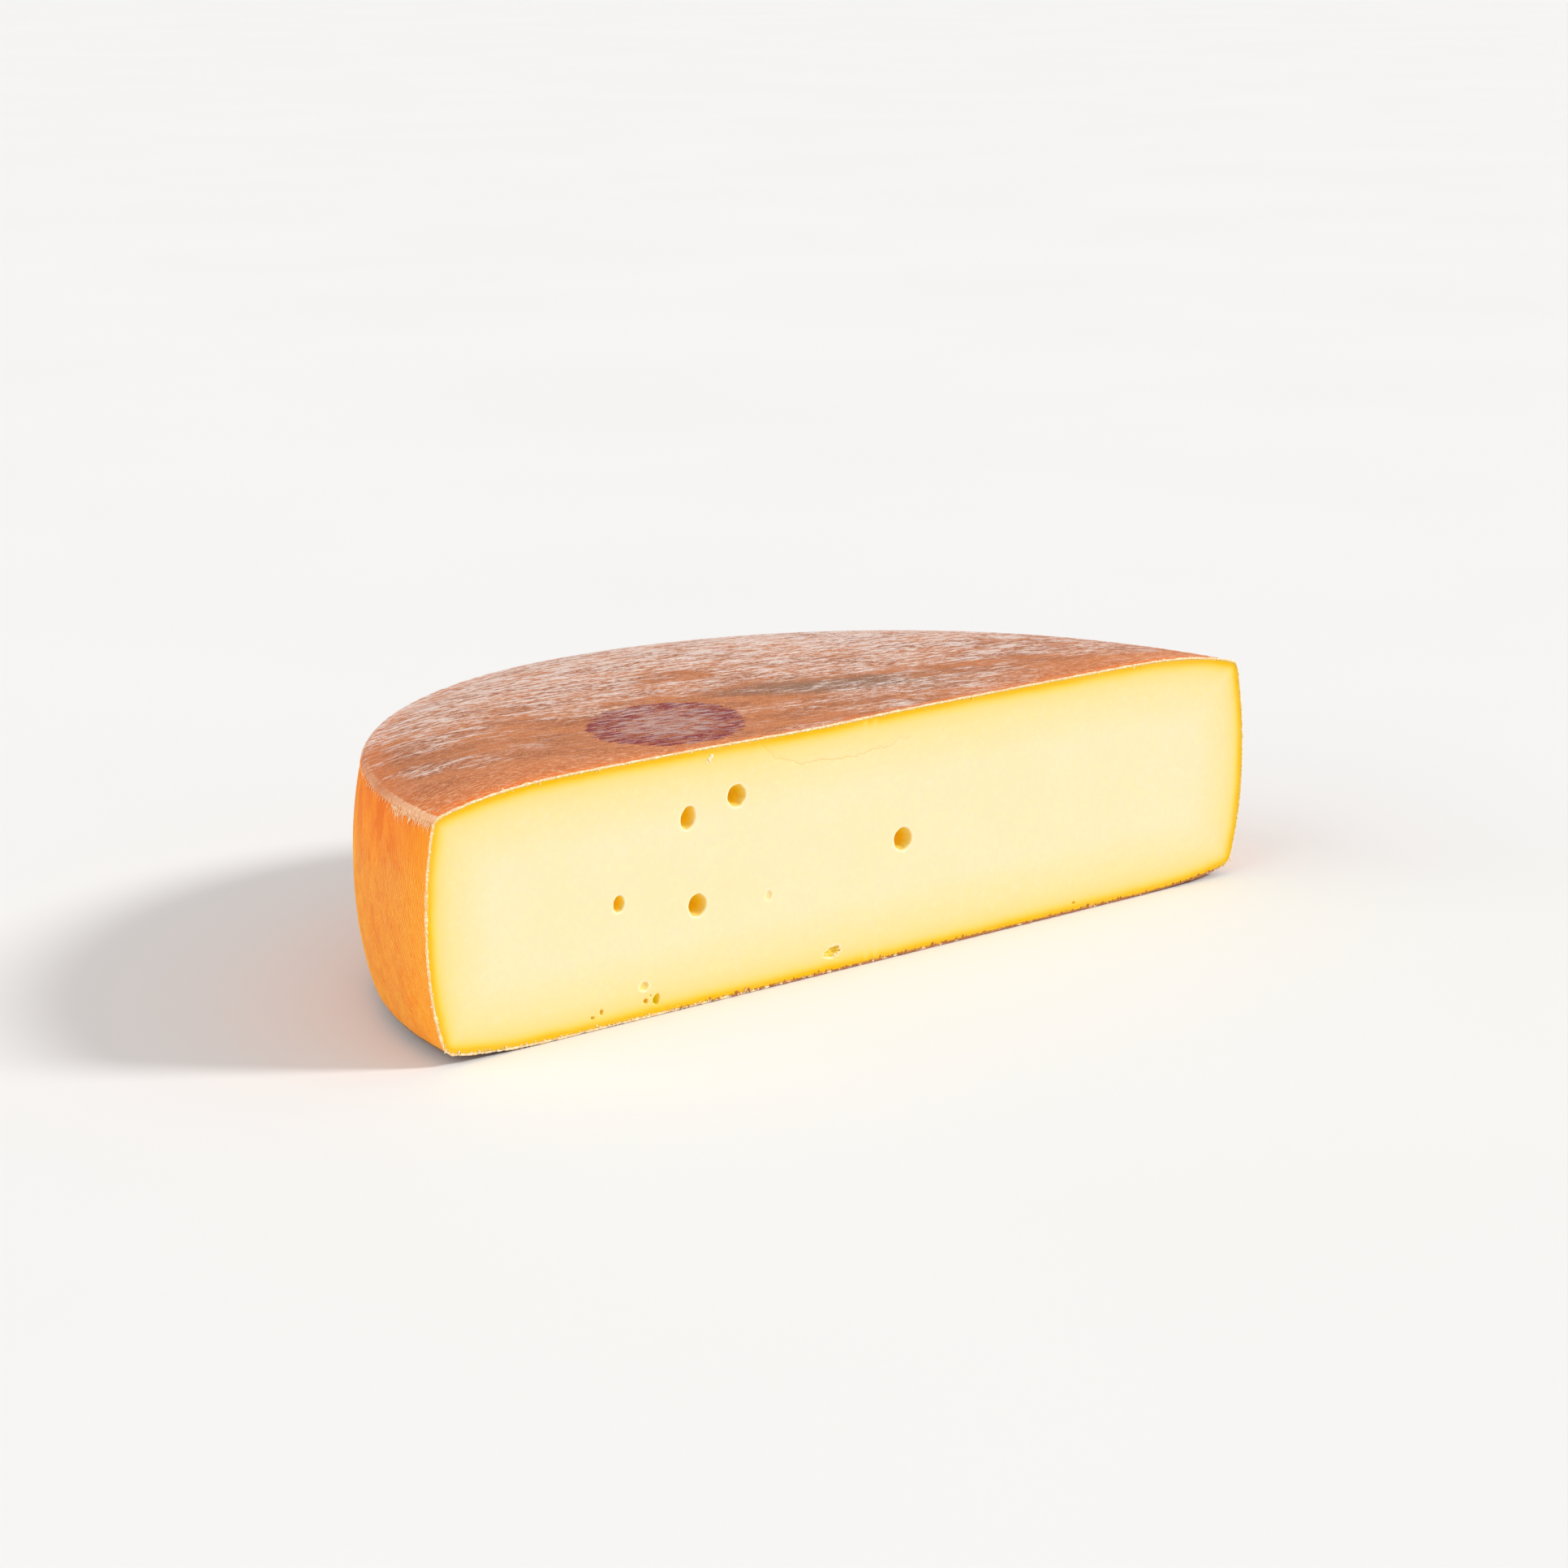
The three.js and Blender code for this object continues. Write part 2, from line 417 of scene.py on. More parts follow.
@dataclass(frozen=True)
class WheelForm:
    """The turned form of the whole wheel, where it was cut, and how uneven it is."""

    radius: float = 150.0 * MM
    height: float = 72.5 * MM
    widest_height: float = 37.0 * MM
    top_flat_radius: float = 92.0 * MM
    top_droop: float = 5.3 * MM
    top_rim_inset: float = 3.5 * MM
    top_rounding: float = 2.2 * MM
    base_flat_radius: float = 100.0 * MM
    base_lift: float = 3.15 * MM
    base_rim_inset: float = 4.9 * MM
    base_rounding: float = 3.0 * MM
    edge_curve: float = 3.0
    side_curve_up: float = 2.13
    side_curve_down: float = 2.27
    cut_behind_middle: float = 7.0 * MM
    waves: tuple[Wave, ...] = (Wave(4, 0.5 * MM), Wave(6, -0.35 * MM))
    dips: tuple[Dip, ...] = (
        Dip(-22.0 * MM, 14.0 * MM, 26.0 * MM, 0.6 * MM),
        Dip(58.0 * MM, 66.0 * MM, 34.0 * MM, 0.5 * MM),
        Dip(-58.0 * MM, 92.0 * MM, 30.0 * MM, 0.4 * MM),
        Dip(104.0 * MM, 30.0 * MM, 22.0 * MM, 0.35 * MM),
    )
    skin: float = 0.1 * MM
    steps: int = 400

    @property
    def cut_y(self) -> float:
        """Place of the solid's cut plane, which is its lowest Y."""
        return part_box(SOLID)[0].y

    @property
    def middle_y(self) -> float:
        """Place of the whole wheel's axis."""
        return self.cut_y - self.cut_behind_middle

    def profile(self, cut: float) -> Profile:
        """Follows the outline, a skin's thickness inside the solid's.

        Args:
            cut: how far behind the wheel's axis the piece's own cut is.

        Returns:
            The outline.
        """
        base_rim = np.array([self.radius - self.base_rim_inset, self.base_lift])
        top_rim = np.array([self.radius - self.top_rim_inset, self.height - self.top_droop])
        r = np.linspace(cut, base_rim[0] - self.base_rounding, self.steps)
        way = np.clip((r - self.base_flat_radius) / (base_rim[0] - self.base_flat_radius), 0, 1)
        base = np.column_stack([r, self.base_lift * way**self.edge_curve])
        low, high = base_rim[1] + self.base_rounding, top_rim[1] - self.top_rounding
        z = np.linspace(low, high, self.steps)
        up = np.clip((z - self.widest_height) / (top_rim[1] - self.widest_height), 0, 1)
        down = np.clip((self.widest_height - z) / (self.widest_height - base_rim[1]), 0, 1)
        inset = self.top_rim_inset * up**self.side_curve_up
        inset = inset + self.base_rim_inset * down**self.side_curve_down
        side = np.column_stack([self.radius - inset, z])
        r = np.linspace(top_rim[0] - self.top_rounding, cut, self.steps)
        way = np.clip((r - self.top_flat_radius) / (top_rim[0] - self.top_flat_radius), 0, 1)
        top = np.column_stack([r, self.height - self.top_droop * way**self.edge_curve])
        bend = np.linspace(0.0, 1.0, 12)[1:-1, None]

        def rounding(start: np.ndarray, corner: np.ndarray, end: np.ndarray) -> np.ndarray:
            """Bends from start to end round the corner that they would meet in."""
            return (1 - bend) ** 2 * start + 2 * bend * (1 - bend) * corner + bend**2 * end

        lower = rounding(base[-1], base_rim, side[0])
        upper = rounding(side[-1], top_rim, top[0])
        points = np.vstack([base, lower, side, upper, top])
        ways = ways_along(points)
        tangent = unit(np.gradient(points, ways, axis=0))
        outward = np.column_stack([tangent[:, 1], -tangent[:, 0]])
        at_base_rim = float(ways[len(base) + len(lower) // 2])
        at_top_rim = float(ways[len(base) + len(lower) + len(side) + len(upper) // 2])
        return Profile(points - self.skin * outward, outward, ways, at_base_rim, at_top_rim)

    def turn(self, rows: np.ndarray, shares: np.ndarray, cut: float) -> np.ndarray:
        """Places outline rows round the half wheel's arc.

        Args:
            rows: radius and height of each point.
            shares: share of the way from the cut's left end to its right, for each point.
            cut: how far behind the wheel's axis the piece's own cut is.

        Returns:
            Rows of x, y, z, round the wheel's own axis.
        """
        start = np.arcsin(np.clip(cut / rows[:, 0], -1.0, 1.0))
        angle = start + shares * (math.pi - 2.0 * start)
        flat = np.column_stack([-rows[:, 0] * np.cos(angle), rows[:, 0] * np.sin(angle)])
        return np.column_stack([flat, rows[:, 1]])

    def work_by_hand(self, places: np.ndarray) -> np.ndarray:
        """Makes turned places as uneven as the solid and moves them onto it.

        Args:
            places: rows of x, y, z round the wheel's own axis.

        Returns:
            The places in the solid's frame.
        """
        x, y, z = places.T
        turn = np.arctan2(y, x)
        near_side = (np.hypot(x, y) / self.radius) ** 4
        wave = sum(w.depth * np.sin(w.per_turn * turn) for w in self.waves)
        spread = 1.0 + near_side * wave / self.radius
        dip = sum(
            d.depth * np.exp(-(((x - d.x) ** 2 + (y - d.y) ** 2) / d.reach**2)) for d in self.dips
        )
        lowered = z * (1.0 - dip / self.height)
        return np.column_stack([x * spread, y * spread + self.middle_y, lowered])

    def cut_chain(self, at: np.ndarray, inset: float, set_in: float) -> np.ndarray:
        """Follows a stretch of the outline up the cut's right edge and back down its left.

        Args:
            at: the stretch's ways along the outline, upwards.
            inset: how far under the outline the chain lies.
            set_in: how far behind the solid's cut plane the chain lies.

        Returns:
            Rows of x, y, z: up the right edge, then down the left.
        """
        cut = self.cut_behind_middle + set_in
        rows = self.profile(cut).rows(at, inset)
        right = self.turn(rows, np.ones(len(at)), cut)
        left = self.turn(rows, np.zeros(len(at)), cut)
        return self.work_by_hand(np.vstack([right, left[::-1]]))


@dataclass(frozen=True)
class GasHole:
    """A hollow that the knife opened in the cut face. Lengths are in millimetres."""

    x: float
    z: float
    width: float
    height: float
    depth: float
    lean: float = 0.0
    set_back: float = -0.35
    ragged: float = 0.05
    around: int = 30
    rings: int = 9
    lobe: float = 0.55

    @property
    def lip(self) -> float:
        """How wide the soft rounding of the mouth is, in metres."""
        return min(0.3, 0.07 * self.width) * MM

    def mouth(self, grown: float = 0.0) -> np.ndarray:
        """Rounds the hollow's mouth.

        Args:
            grown: how far outside the mouth the loop runs, in metres.

        Returns:
            Rows of x and z, in metres.
        """
        angle = np.linspace(0.0, 2.0 * math.pi, self.around, endpoint=False)
        spots = np.column_stack([np.cos(angle), np.sin(angle), np.full_like(angle, self.x)])
        rough = 1.0 + self.ragged * noise_at(spots, (self.lobe, self.lobe, 7.0), self.z)
        across = (self.width / 2.0 * MM * rough + grown) * np.cos(angle)
        up = (self.height / 2.0 * MM * rough + grown) * np.sin(angle)
        lean = math.radians(self.lean)
        x = across * math.cos(lean) - up * math.sin(lean)
        z = across * math.sin(lean) + up * math.cos(lean)
        return np.column_stack([x + self.x * MM, z + self.z * MM])

    def rings_inside(self) -> list[tuple[float, float]]:
        """Steps down the hollow's wall.

        Returns:
            For each ring its size as a share of the mouth, and its depth in metres.
        """
        half_depth = self.depth * MM / (1.0 + self.set_back)
        first = -math.asin(self.set_back)
        angles = np.linspace(first, math.pi / 2.0, self.rings + 1)[1:-1]
        shares = np.cos(angles) / math.cos(first)
        depths = half_depth * (self.set_back + np.sin(angles))
        return list(zip(shares, depths))


@dataclass(frozen=True)
class Crack:
    """A hairline split in the cut face. Lengths are in millimetres."""

    points: tuple[tuple[float, float], ...]
    half_width: float = 0.1
    depth: float = 0.04
    step: float = 0.45
    tremble: float = 0.6
    fine_tremble: float = 0.34

    def line(self) -> np.ndarray:
        """Follows the split in even steps, with a slight tremble.

        Returns:
            Rows of x and z, in metres.
        """
        points = np.array(self.points)
        ways = ways_along(points)
        at = np.linspace(0.0, ways[-1], int(ways[-1] / self.step))
        x = np.interp(at, ways, points[:, 0])
        z = np.interp(at, ways, points[:, 1])
        spots = np.column_stack([x, z, at])
        moved = self.tremble * noise_at(spots, (1.7, 1.7, 1.7), 3.7)
        moved += self.fine_tremble * noise_at(spots, (0.7, 0.7, 0.7), 8.2)
        return np.column_stack([x, z + moved]) * MM


def new_object(name: str, data: bpy.types.ID) -> bpy.types.Object:
    """Puts a mesh, a camera or a lamp into the scene.

    Args:
        name: the object's name.
        data: the mesh, camera or lamp.

    Returns:
        The object.
    """
    made = bpy.data.objects.new(name, data)
    bpy.context.scene.collection.objects.link(made)
    return made


def new_mesh(
    name: str, places: np.ndarray, faces: list | tuple = (), edges: list | tuple = ()
) -> bpy.types.Mesh:
    """Makes a mesh.

    Args:
        name: the mesh's name.
        places: rows of x, y, z.
        faces: the faces, each as the indices of its points.
        edges: the edges that no face has.

    Returns:
        The mesh.
    """
    mesh = bpy.data.meshes.new(name)
    mesh.from_pydata(places.tolist(), edges, faces)
    return mesh


def set_layers(mesh: bpy.types.Mesh, layers: dict[Layer, np.ndarray]) -> None:
    """Stores numbers, or vectors, on each point of a mesh.

    Args:
        mesh: the mesh.
        layers: by each value's name, one number or row for each point.
    """
    for which, values in layers.items():
        kind, key = ("FLOAT", "value") if values.ndim == 1 else ("FLOAT_VECTOR", "vector")
        attribute = mesh.attributes.new(which.value, kind, "POINT")
        attribute.data.foreach_set(key, np.ascontiguousarray(values, dtype=np.float32).ravel())


def get_places(mesh: bpy.types.Mesh) -> np.ndarray:
    """Reads where a mesh's points are.

    Args:
        mesh: the mesh.

    Returns:
        Rows of x, y, z.
    """
    flat = np.empty(len(mesh.vertices) * 3, np.float32)
    mesh.vertices.foreach_get("co", flat)
    return flat.reshape(-1, 3).astype(float)


def set_places(mesh: bpy.types.Mesh, places: np.ndarray) -> None:
    """Moves a mesh's points to rows of x, y, z."""
    mesh.vertices.foreach_set("co", np.ascontiguousarray(places, dtype=np.float32).ravel())
    mesh.update()


def keep_in_box(mesh: bpy.types.Mesh, margin: float) -> None:
    """Squeezes what reaches past the solid's box into a thin margin inside it.

    Args:
        mesh: the mesh.
        margin: how far inside the box the squeezing starts; what is further in stays.
    """
    low, high = (np.array(corner) for corner in CAD_BOX)
    places = get_places(mesh)
    past = np.maximum(places - high, low - places).max()
    if past > 0.5 * MM:
        log.warning("%s reached %.2f mm outside the box", mesh.name, past / MM)
    over = np.clip(low + margin - places, 0.0, None)
    places = np.where(over > 0.0, low + margin * np.exp(-over / margin), places)
    over = np.clip(places - high + margin, 0.0, None)
    places = np.where(over > 0.0, high - margin * np.exp(-over / margin), places)
    set_places(mesh, places)


def face_out(mesh: bpy.types.Mesh) -> None:
    """Turns faces outwards.

    Args:
        mesh: a closed mesh.
    """
    work = bmesh.new()
    work.from_mesh(mesh)
    bmesh.ops.recalc_face_normals(work, faces=work.faces[:])
    work.to_mesh(mesh)
    work.free()


def smooth_with_edges(mesh: bpy.types.Mesh, angle: float) -> None:
    """Shades a mesh smoothly, but for edges sharper than an angle in degrees."""
    mesh.shade_smooth()
    mesh.set_sharp_from_angle(angle=math.radians(angle))


def inside(points: np.ndarray, loop: np.ndarray) -> np.ndarray:
    """Tells which points lie inside a closed loop.

    Args:
        points: rows of two coordinates.
        loop: rows of two coordinates, closed.

    Returns:
        True for each point that is inside.
    """
    within = np.zeros(len(points), bool)
    px, pz = points[:, 0], points[:, 1]
    for (ax, az), (bx, bz) in zip(loop, np.roll(loop, -1, axis=0)):
        if az == bz:
            continue
        crosses = (az > pz) != (bz > pz)
        at = ax + (pz - az) * (bx - ax) / (bz - az)
        within ^= crosses & (px < at)
    return within


def distances(spots: np.ndarray, others: np.ndarray) -> np.ndarray:
    """Measures how far each spot is from the nearest of some others.

    Args:
        spots: rows of two coordinates.
        others: rows of two coordinates.

    Returns:
        One distance for each spot.
    """
    tree = kdtree.KDTree(len(others))
    for number, (x, z) in enumerate(others):
        tree.insert((x, z, 0.0), number)
    tree.balance()
    return np.array([tree.find((x, z, 0.0))[2] for x, z in spots])


def quads_between(outer: list[int], inner: list[int]) -> Faces:
    """Joins two rings of as many points each by four-sided faces."""
    pairs = list(zip(outer, inner))
    return [(a, c, d, b) for (a, b), (c, d) in zip(pairs, pairs[1:] + pairs[:1])]


def stitched(fine: np.ndarray, coarse: np.ndarray) -> Faces:
    """Joins a row of many points to a row of few that runs beside it.

    Args:
        fine: indices of the row of many points.
        coarse: indices of the row of few.

    Returns:
        Triangles between the rows.
    """
    faces, at = [], 0
    step = (len(coarse) - 1) / (len(fine) - 1)
    for number in range(len(fine) - 1):
        faces.append((int(fine[number]), int(fine[number + 1]), int(coarse[at])))
        if at < len(coarse) - 1 and (number + 1) * step >= at + 0.5:
            faces.append((int(fine[number + 1]), int(coarse[at + 1]), int(coarse[at])))
            at += 1
    return faces


def grid_faces(rows: int, columns: int, first: int) -> Faces:
    """Lists the four-sided faces of a grid of points that are numbered row by row.

    Args:
        rows: number of rows.
        columns: number of points in a row.
        first: index of the first point.

    Returns:
        The faces.
    """
    corner = (first + np.arange(rows - 1)[:, None] * columns + np.arange(columns - 1)).ravel()
    faces = np.column_stack([corner, corner + 1, corner + columns + 1, corner + columns])
    return [tuple(face) for face in faces.tolist()]


class Growth(Wiring):
    """A Geometry Nodes tree with named inputs, which is grown once into a plain mesh."""

    def __init__(self, name: str) -> None:
        """Starts a tree that takes and gives geometry.

        Args:
            name: the tree's name.
        """
        super().__init__(bpy.data.node_groups.new(name, "GeometryNodeTree"))
        self.values: dict[str, object] = {}
        face = self.tree.interface
        face.new_socket("Geometry", in_out="INPUT", socket_type="NodeSocketGeometry")
        face.new_socket("Geometry", in_out="OUTPUT", socket_type="NodeSocketGeometry")
        self.start = self.add("NodeGroupInput")
        self.end = self.add("NodeGroupOutput")

    @property
    def taken(self) -> Socket:
        """The geometry that the tree takes."""
        return self.start.outputs[0]

    def take(self, name: str, value: object) -> Socket:
        """Adds a named input.

        Args:
            name: the input's name.
            value: a number, a whole number or a material, which it is set to.

        Returns:
            The input's output inside the tree.
        """
        kinds = {float: "NodeSocketFloat", int: "NodeSocketInt"}
        kind = kinds.get(type(value), "NodeSocketMaterial")
        socket = self.tree.interface.new_socket(name, in_out="INPUT", socket_type=kind)
        self.values[socket.identifier] = value
        return self.start.outputs[name]

    def take_all(self, owner: object, *names: str) -> list[Socket]:
        """Adds an input for each of a piece's named sizes, set to that size."""
        return [self.take(name.replace("_", " ").title(), getattr(owner, name)) for name in names]

    def read(self, which: Layer, kind: str = "FLOAT") -> Socket:
        """Reads one of the values that the points carry."""
        feeds = {"Name": which.value}
        return self.out("GeometryNodeInputNamedAttribute", feeds, data_type=kind)

    def place(self) -> Socket:
        """Reads the points' places."""
        return self.out("GeometryNodeInputPosition")

    def chance(self, low: Source, high: Source, seed: Source, step: int) -> Socket:
        """Draws a number, or a vector, for each point.

        Args:
            low: lowest value; a tuple asks for vectors.
            high: highest value.
            seed: the tree's seed.
            step: added to the seed, so that two draws differ.

        Returns:
            The draw's output.
        """
        vector = isinstance(low, tuple)
        kind, first, out = ("FLOAT_VECTOR", 0, 0) if vector else ("FLOAT", 2, 1)
        feeds = {first: low, first + 1: high, "Seed": self.maths("ADD", seed, step)}
        return self.add("FunctionNodeRandomValue", feeds, data_type=kind).outputs[out]

    def moved(self, geometry: Socket, offset: Source) -> Socket:
        """Moves geometry by an offset."""
        feeds = {"Geometry": geometry, "Offset": offset}
        return self.out("GeometryNodeSetPosition", feeds)

    def patch(self, vector: Source, size: Source, seed: Source, out: int = 0) -> Socket:
        """Gives smooth noise that a seed shifts.

        Args:
            vector: the coordinates.
            size: size of the noise's patches.
            seed: shifts the noise.
            out: 0 for a number and 1 for three numbers.

        Returns:
            The noise's output, from 0 to 1.
        """
        scale = self.maths("DIVIDE", 1.0, size)
        feeds = {"Vector": vector, "W": seed, "Scale": scale, "Detail": 2.0}
        node = self.add("ShaderNodeTexNoise", feeds, noise_dimensions="4D")
        return node.outputs[out]

    def jitter(self, size: float, reach: Source, seed: Source = 0.0) -> Socket:
        """Gives smooth random offsets.

        Args:
            size: size of the noise's patches.
            reach: how far the offsets go.
            seed: shifts the noise, so that two uses differ.

        Returns:
            The offsets' output.
        """
        patch = self.patch(self.place(), size, seed, 1)
        centred = self.vector("SUBTRACT", patch, (0.5, 0.5, 0.5))
        return self.vector("SCALE", centred, reach)

    def grow(
        self, piece: bpy.types.Object, geometry: Socket, material: bpy.types.Material
    ) -> None:
        """Ends the tree in real geometry, and leaves it as the plain mesh of a piece.

        Args:
            piece: an object whose mesh is what the tree takes.
            geometry: what the tree has made.
            material: the finish that it wears.
        """
        real = self.out("GeometryNodeRealizeInstances", {0: geometry})
        feeds = {"Geometry": real, "Material": self.take("Finish", material)}
        self.feed(self.end.inputs[0], self.out("GeometryNodeSetMaterial", feeds))
        modifier = piece.modifiers.new(self.tree.name, "NODES")
        modifier.node_group = self.tree
        for identifier, value in self.values.items():
            modifier[identifier] = value
        bpy.context.view_layer.update()
        graph = bpy.context.evaluated_depsgraph_get()
        grown = bpy.data.meshes.new_from_object(piece.evaluated_get(graph), depsgraph=graph)
        piece.modifiers.remove(modifier)
        piece.data = grown
        grown.name = piece.name


@dataclass(frozen=True)
class PasteFinish:
    """Cut cheese: cream in the middle, deep yellow under the rind, with a soft waxy sheen."""

    deep: Colour = srgb(247, 186, 2)
    golden: Colour = srgb(244, 200, 60)
    butter: Colour = srgb(243, 212, 114)
    straw: Colour = srgb(243, 216, 140)
    pale: Colour = srgb(243, 221, 160)
    cream: Colour = srgb(243, 226, 184)
    # Deep yellow laid more and more down the gas holes' walls: painted shade and glow.
    hollow: Colour = srgb(255, 214, 0)
    # Pale cream for the curd's mottling, also laid round the big holes' mouths as a painted highlight.
    halo: Colour = srgb(250, 236, 206)
    shine: Colour = srgb(255, 226, 150)
    # Darker yellow along the crack: painted shade in the split.
    crack: Colour = srgb(216, 164, 30)
    fade: float = 20.0 * MM
    glow: float = 1.6 * MM
    hollow_glow: float = 14.0 * MM

    def make(self) -> bpy.types.Material:
        """Builds the finish.

        Returns:
            The finish's material.
        """
        w = Finish("cut_paste")
        place, hollow = w.place, w.layer(Layer.HOLLOW)
        patch = w.cloud(place, (12, 12, 9), detail=2.0)
        depth = w.linear(patch, 0.8 * MM, w.layer(Layer.RIND_DEPTH))
        depth = w.maths("SUBTRACT", depth, 0.5 * MM)
        share = w.maths("DIVIDE", depth, self.fade, clamp=True)
        stops = [(0.0, self.deep), (0.04, self.deep), (0.075, self.golden), (0.13, self.butter)]
        stops += [(0.19, self.straw), (0.38, self.pale), (1.0, self.cream)]
        w.colour = w.ramp(share, stops)
        broad = w.cloud(place, (34, 34, 24))
        w.lay(w.ease(broad, 0.35, 0.75, 0.0, 0.12), self.straw)
        curd = w.cloud(place, (1.6, 1.6, 1.6), detail=4.0)
        mottled = w.product(w.ease(curd, 0.45, 0.8, 0.0, 0.25), w.ease(share, 0.1, 0.5))
        w.lay(mottled, self.halo)
        # Painted highlight round the mouths of the big gas holes.
        w.lay(w.layer(Layer.HALO), self.halo)
        # Painted shade and glow in the gas holes.
        w.lay(hollow, self.hollow)
        # Painted shade along the crack.
        w.lay(w.layer(Layer.CRACK_SHADE), self.crack)
        reach = w.ease(hollow, 0.7, 0.95, self.glow, self.hollow_glow)
        w.scatter(w.ease(hollow, 0.0, 0.5, 0.6, 1.0), reach, (1.0, 0.6, 0.25))
        w.set(Roughness=w.ease(curd, 0.3, 0.75, 0.38, 0.52))
        w.set(Specular_IOR_Level=0.32, Specular_Tint=self.shine)
        drag = w.cloud(place, (1.1, 4, 26), rough=0.55)
        grain = w.cloud(place, (0.5, 0.5, 0.5), detail=2.0)
        w.rough_up(w.linear(grain, 0.35, drag), 0.12 * MM, 0.22)
        return w.done()


@dataclass(frozen=True)
class SideFinish:
    """The ribbed side: orange, with paler worn rib crests that also carry painted highlight, painted
    shade between the ribs, and a brushed edge under the rim.
    """

    orange: Colour = srgb(250, 140, 38)
    # Deep orange of the patches and specks, also laid between the ribs as painted shade.
    deep: Colour = srgb(234, 106, 14)
    dull: Colour = srgb(230, 132, 64)
    yellow: Colour = srgb(254, 156, 8)
    # Pale orange for the flecks and the rib crests; on the crests it is part wear, part painted
    # highlight.
    worn: Colour = srgb(255, 190, 72)
    pale: Colour = srgb(255, 214, 152)
    edge: Colour = srgb(255, 214, 150)
    section: Colour = srgb(254, 224, 160)
    brown: Colour = srgb(150, 96, 62)

    def make(self, form: WheelForm) -> bpy.types.Material:
        """Builds the finish.

        Args:
            form: the wheel's form, for where the cut is.

        Returns:
            The finish's material.
        """
        w = Finish("side_rind")
        place, grain, rim_way = w.place, w.grain(), w.layer(Layer.RIM_WAY)
        patch = w.cloud(grain, (9, 16, WIDE), detail=4.0, rough=0.65)
        broad = w.cloud(grain, (34, 40, WIDE), seed=3.0)
        strokes = w.cloud(grain, (0.6, 5, WIDE), detail=4.0, rough=0.7)
        speck = w.cloud(grain, (0.5, 0.6, WIDE), detail=2.0)
        from_cut = w.maths("SUBTRACT", w.part(place, 1), form.cut_y)
        w.colour = w.blend(w.ease(patch, 0.38, 0.62), self.deep, self.orange)
        upper = w.ease(rim_way, -24 * MM, -6 * MM, 0.0, 0.8)
        dulled = w.product(w.ease(broad, 0.38, 0.62, 0.1, 0.8), w.maths("SUBTRACT", 1.0, upper))
        w.lay(dulled, self.dull)
        w.lay(w.ease(from_cut, 1 * MM, 22 * MM, 0.85, 0.0), self.yellow)
        rib = w.layer(Layer.RIB)
        # Strength of the paler crests and flecks: more near the cut, less under the rim.
        crest_and_fleck_share = w.ease(from_cut, 8 * MM, 60 * MM, 1.0, 0.7)
        crest_and_fleck_share = w.product(crest_and_fleck_share, w.ease(rim_way, -26 * MM, -4 * MM, 1.0, 0.3))
        # Rib crests paler: part wear, part painted highlight.
        worn = w.product(w.ease(rib, 0.45, 0.8), w.ease(strokes, 0.36, 0.58, 0.45, 1.0), crest_and_fleck_share)
        w.lay(worn, self.worn)
        # Painted shade in the valleys between the ribs.
        w.lay(w.ease(rib, 0.0, 0.45, 0.75, 0.0), self.deep)
        w.lay(w.ease(strokes, 0.6, 0.72, 0.0, 0.3), self.pale)
        fleck = w.cloud(grain, (0.4, 1.1, WIDE), detail=2.0, seed=9.0)
        w.lay(w.product(w.ease(fleck, 0.56, 0.7, 0.0, 0.5), crest_and_fleck_share), self.worn)
        w.lay(w.ease(strokes, 0.34, 0.44, 0.5, 0.0), self.deep)
        w.lay(w.ease(speck, 0.62, 0.74, 0.0, 0.5), self.deep)
        near_base = w.linear(patch, 5 * MM, w.part(place, 2))
        w.lay(w.ease(near_base, 4 * MM, 6 * MM, 0.85, 0.0), self.brown)
        brushed = w.linear(strokes, 7 * MM, rim_way)
        w.lay(w.ease(brushed, 1.8 * MM, 3.8 * MM, 0.0, 0.4), self.pale)
        torn = w.cloud(place, (WIDE, 2.0, 2.6), detail=4.0, rough=0.7, seed=6.0)
        by_cut = w.linear(torn, -1.6 * MM, from_cut)
        w.lay(w.ease(by_cut, -0.1 * MM, 0.25 * MM, 0.85, 0.0), self.edge)
        w.lay(w.layer(Layer.SECTION), self.section)
        w.set(Roughness=0.7, Specular_IOR_Level=0.25)
        w.scatter(0.12, 0.8 * MM, (1.0, 0.4, 0.12))
        w.rough_up(w.linear(strokes, 1.2, speck), 0.2 * MM, 0.7)
        return w.done()


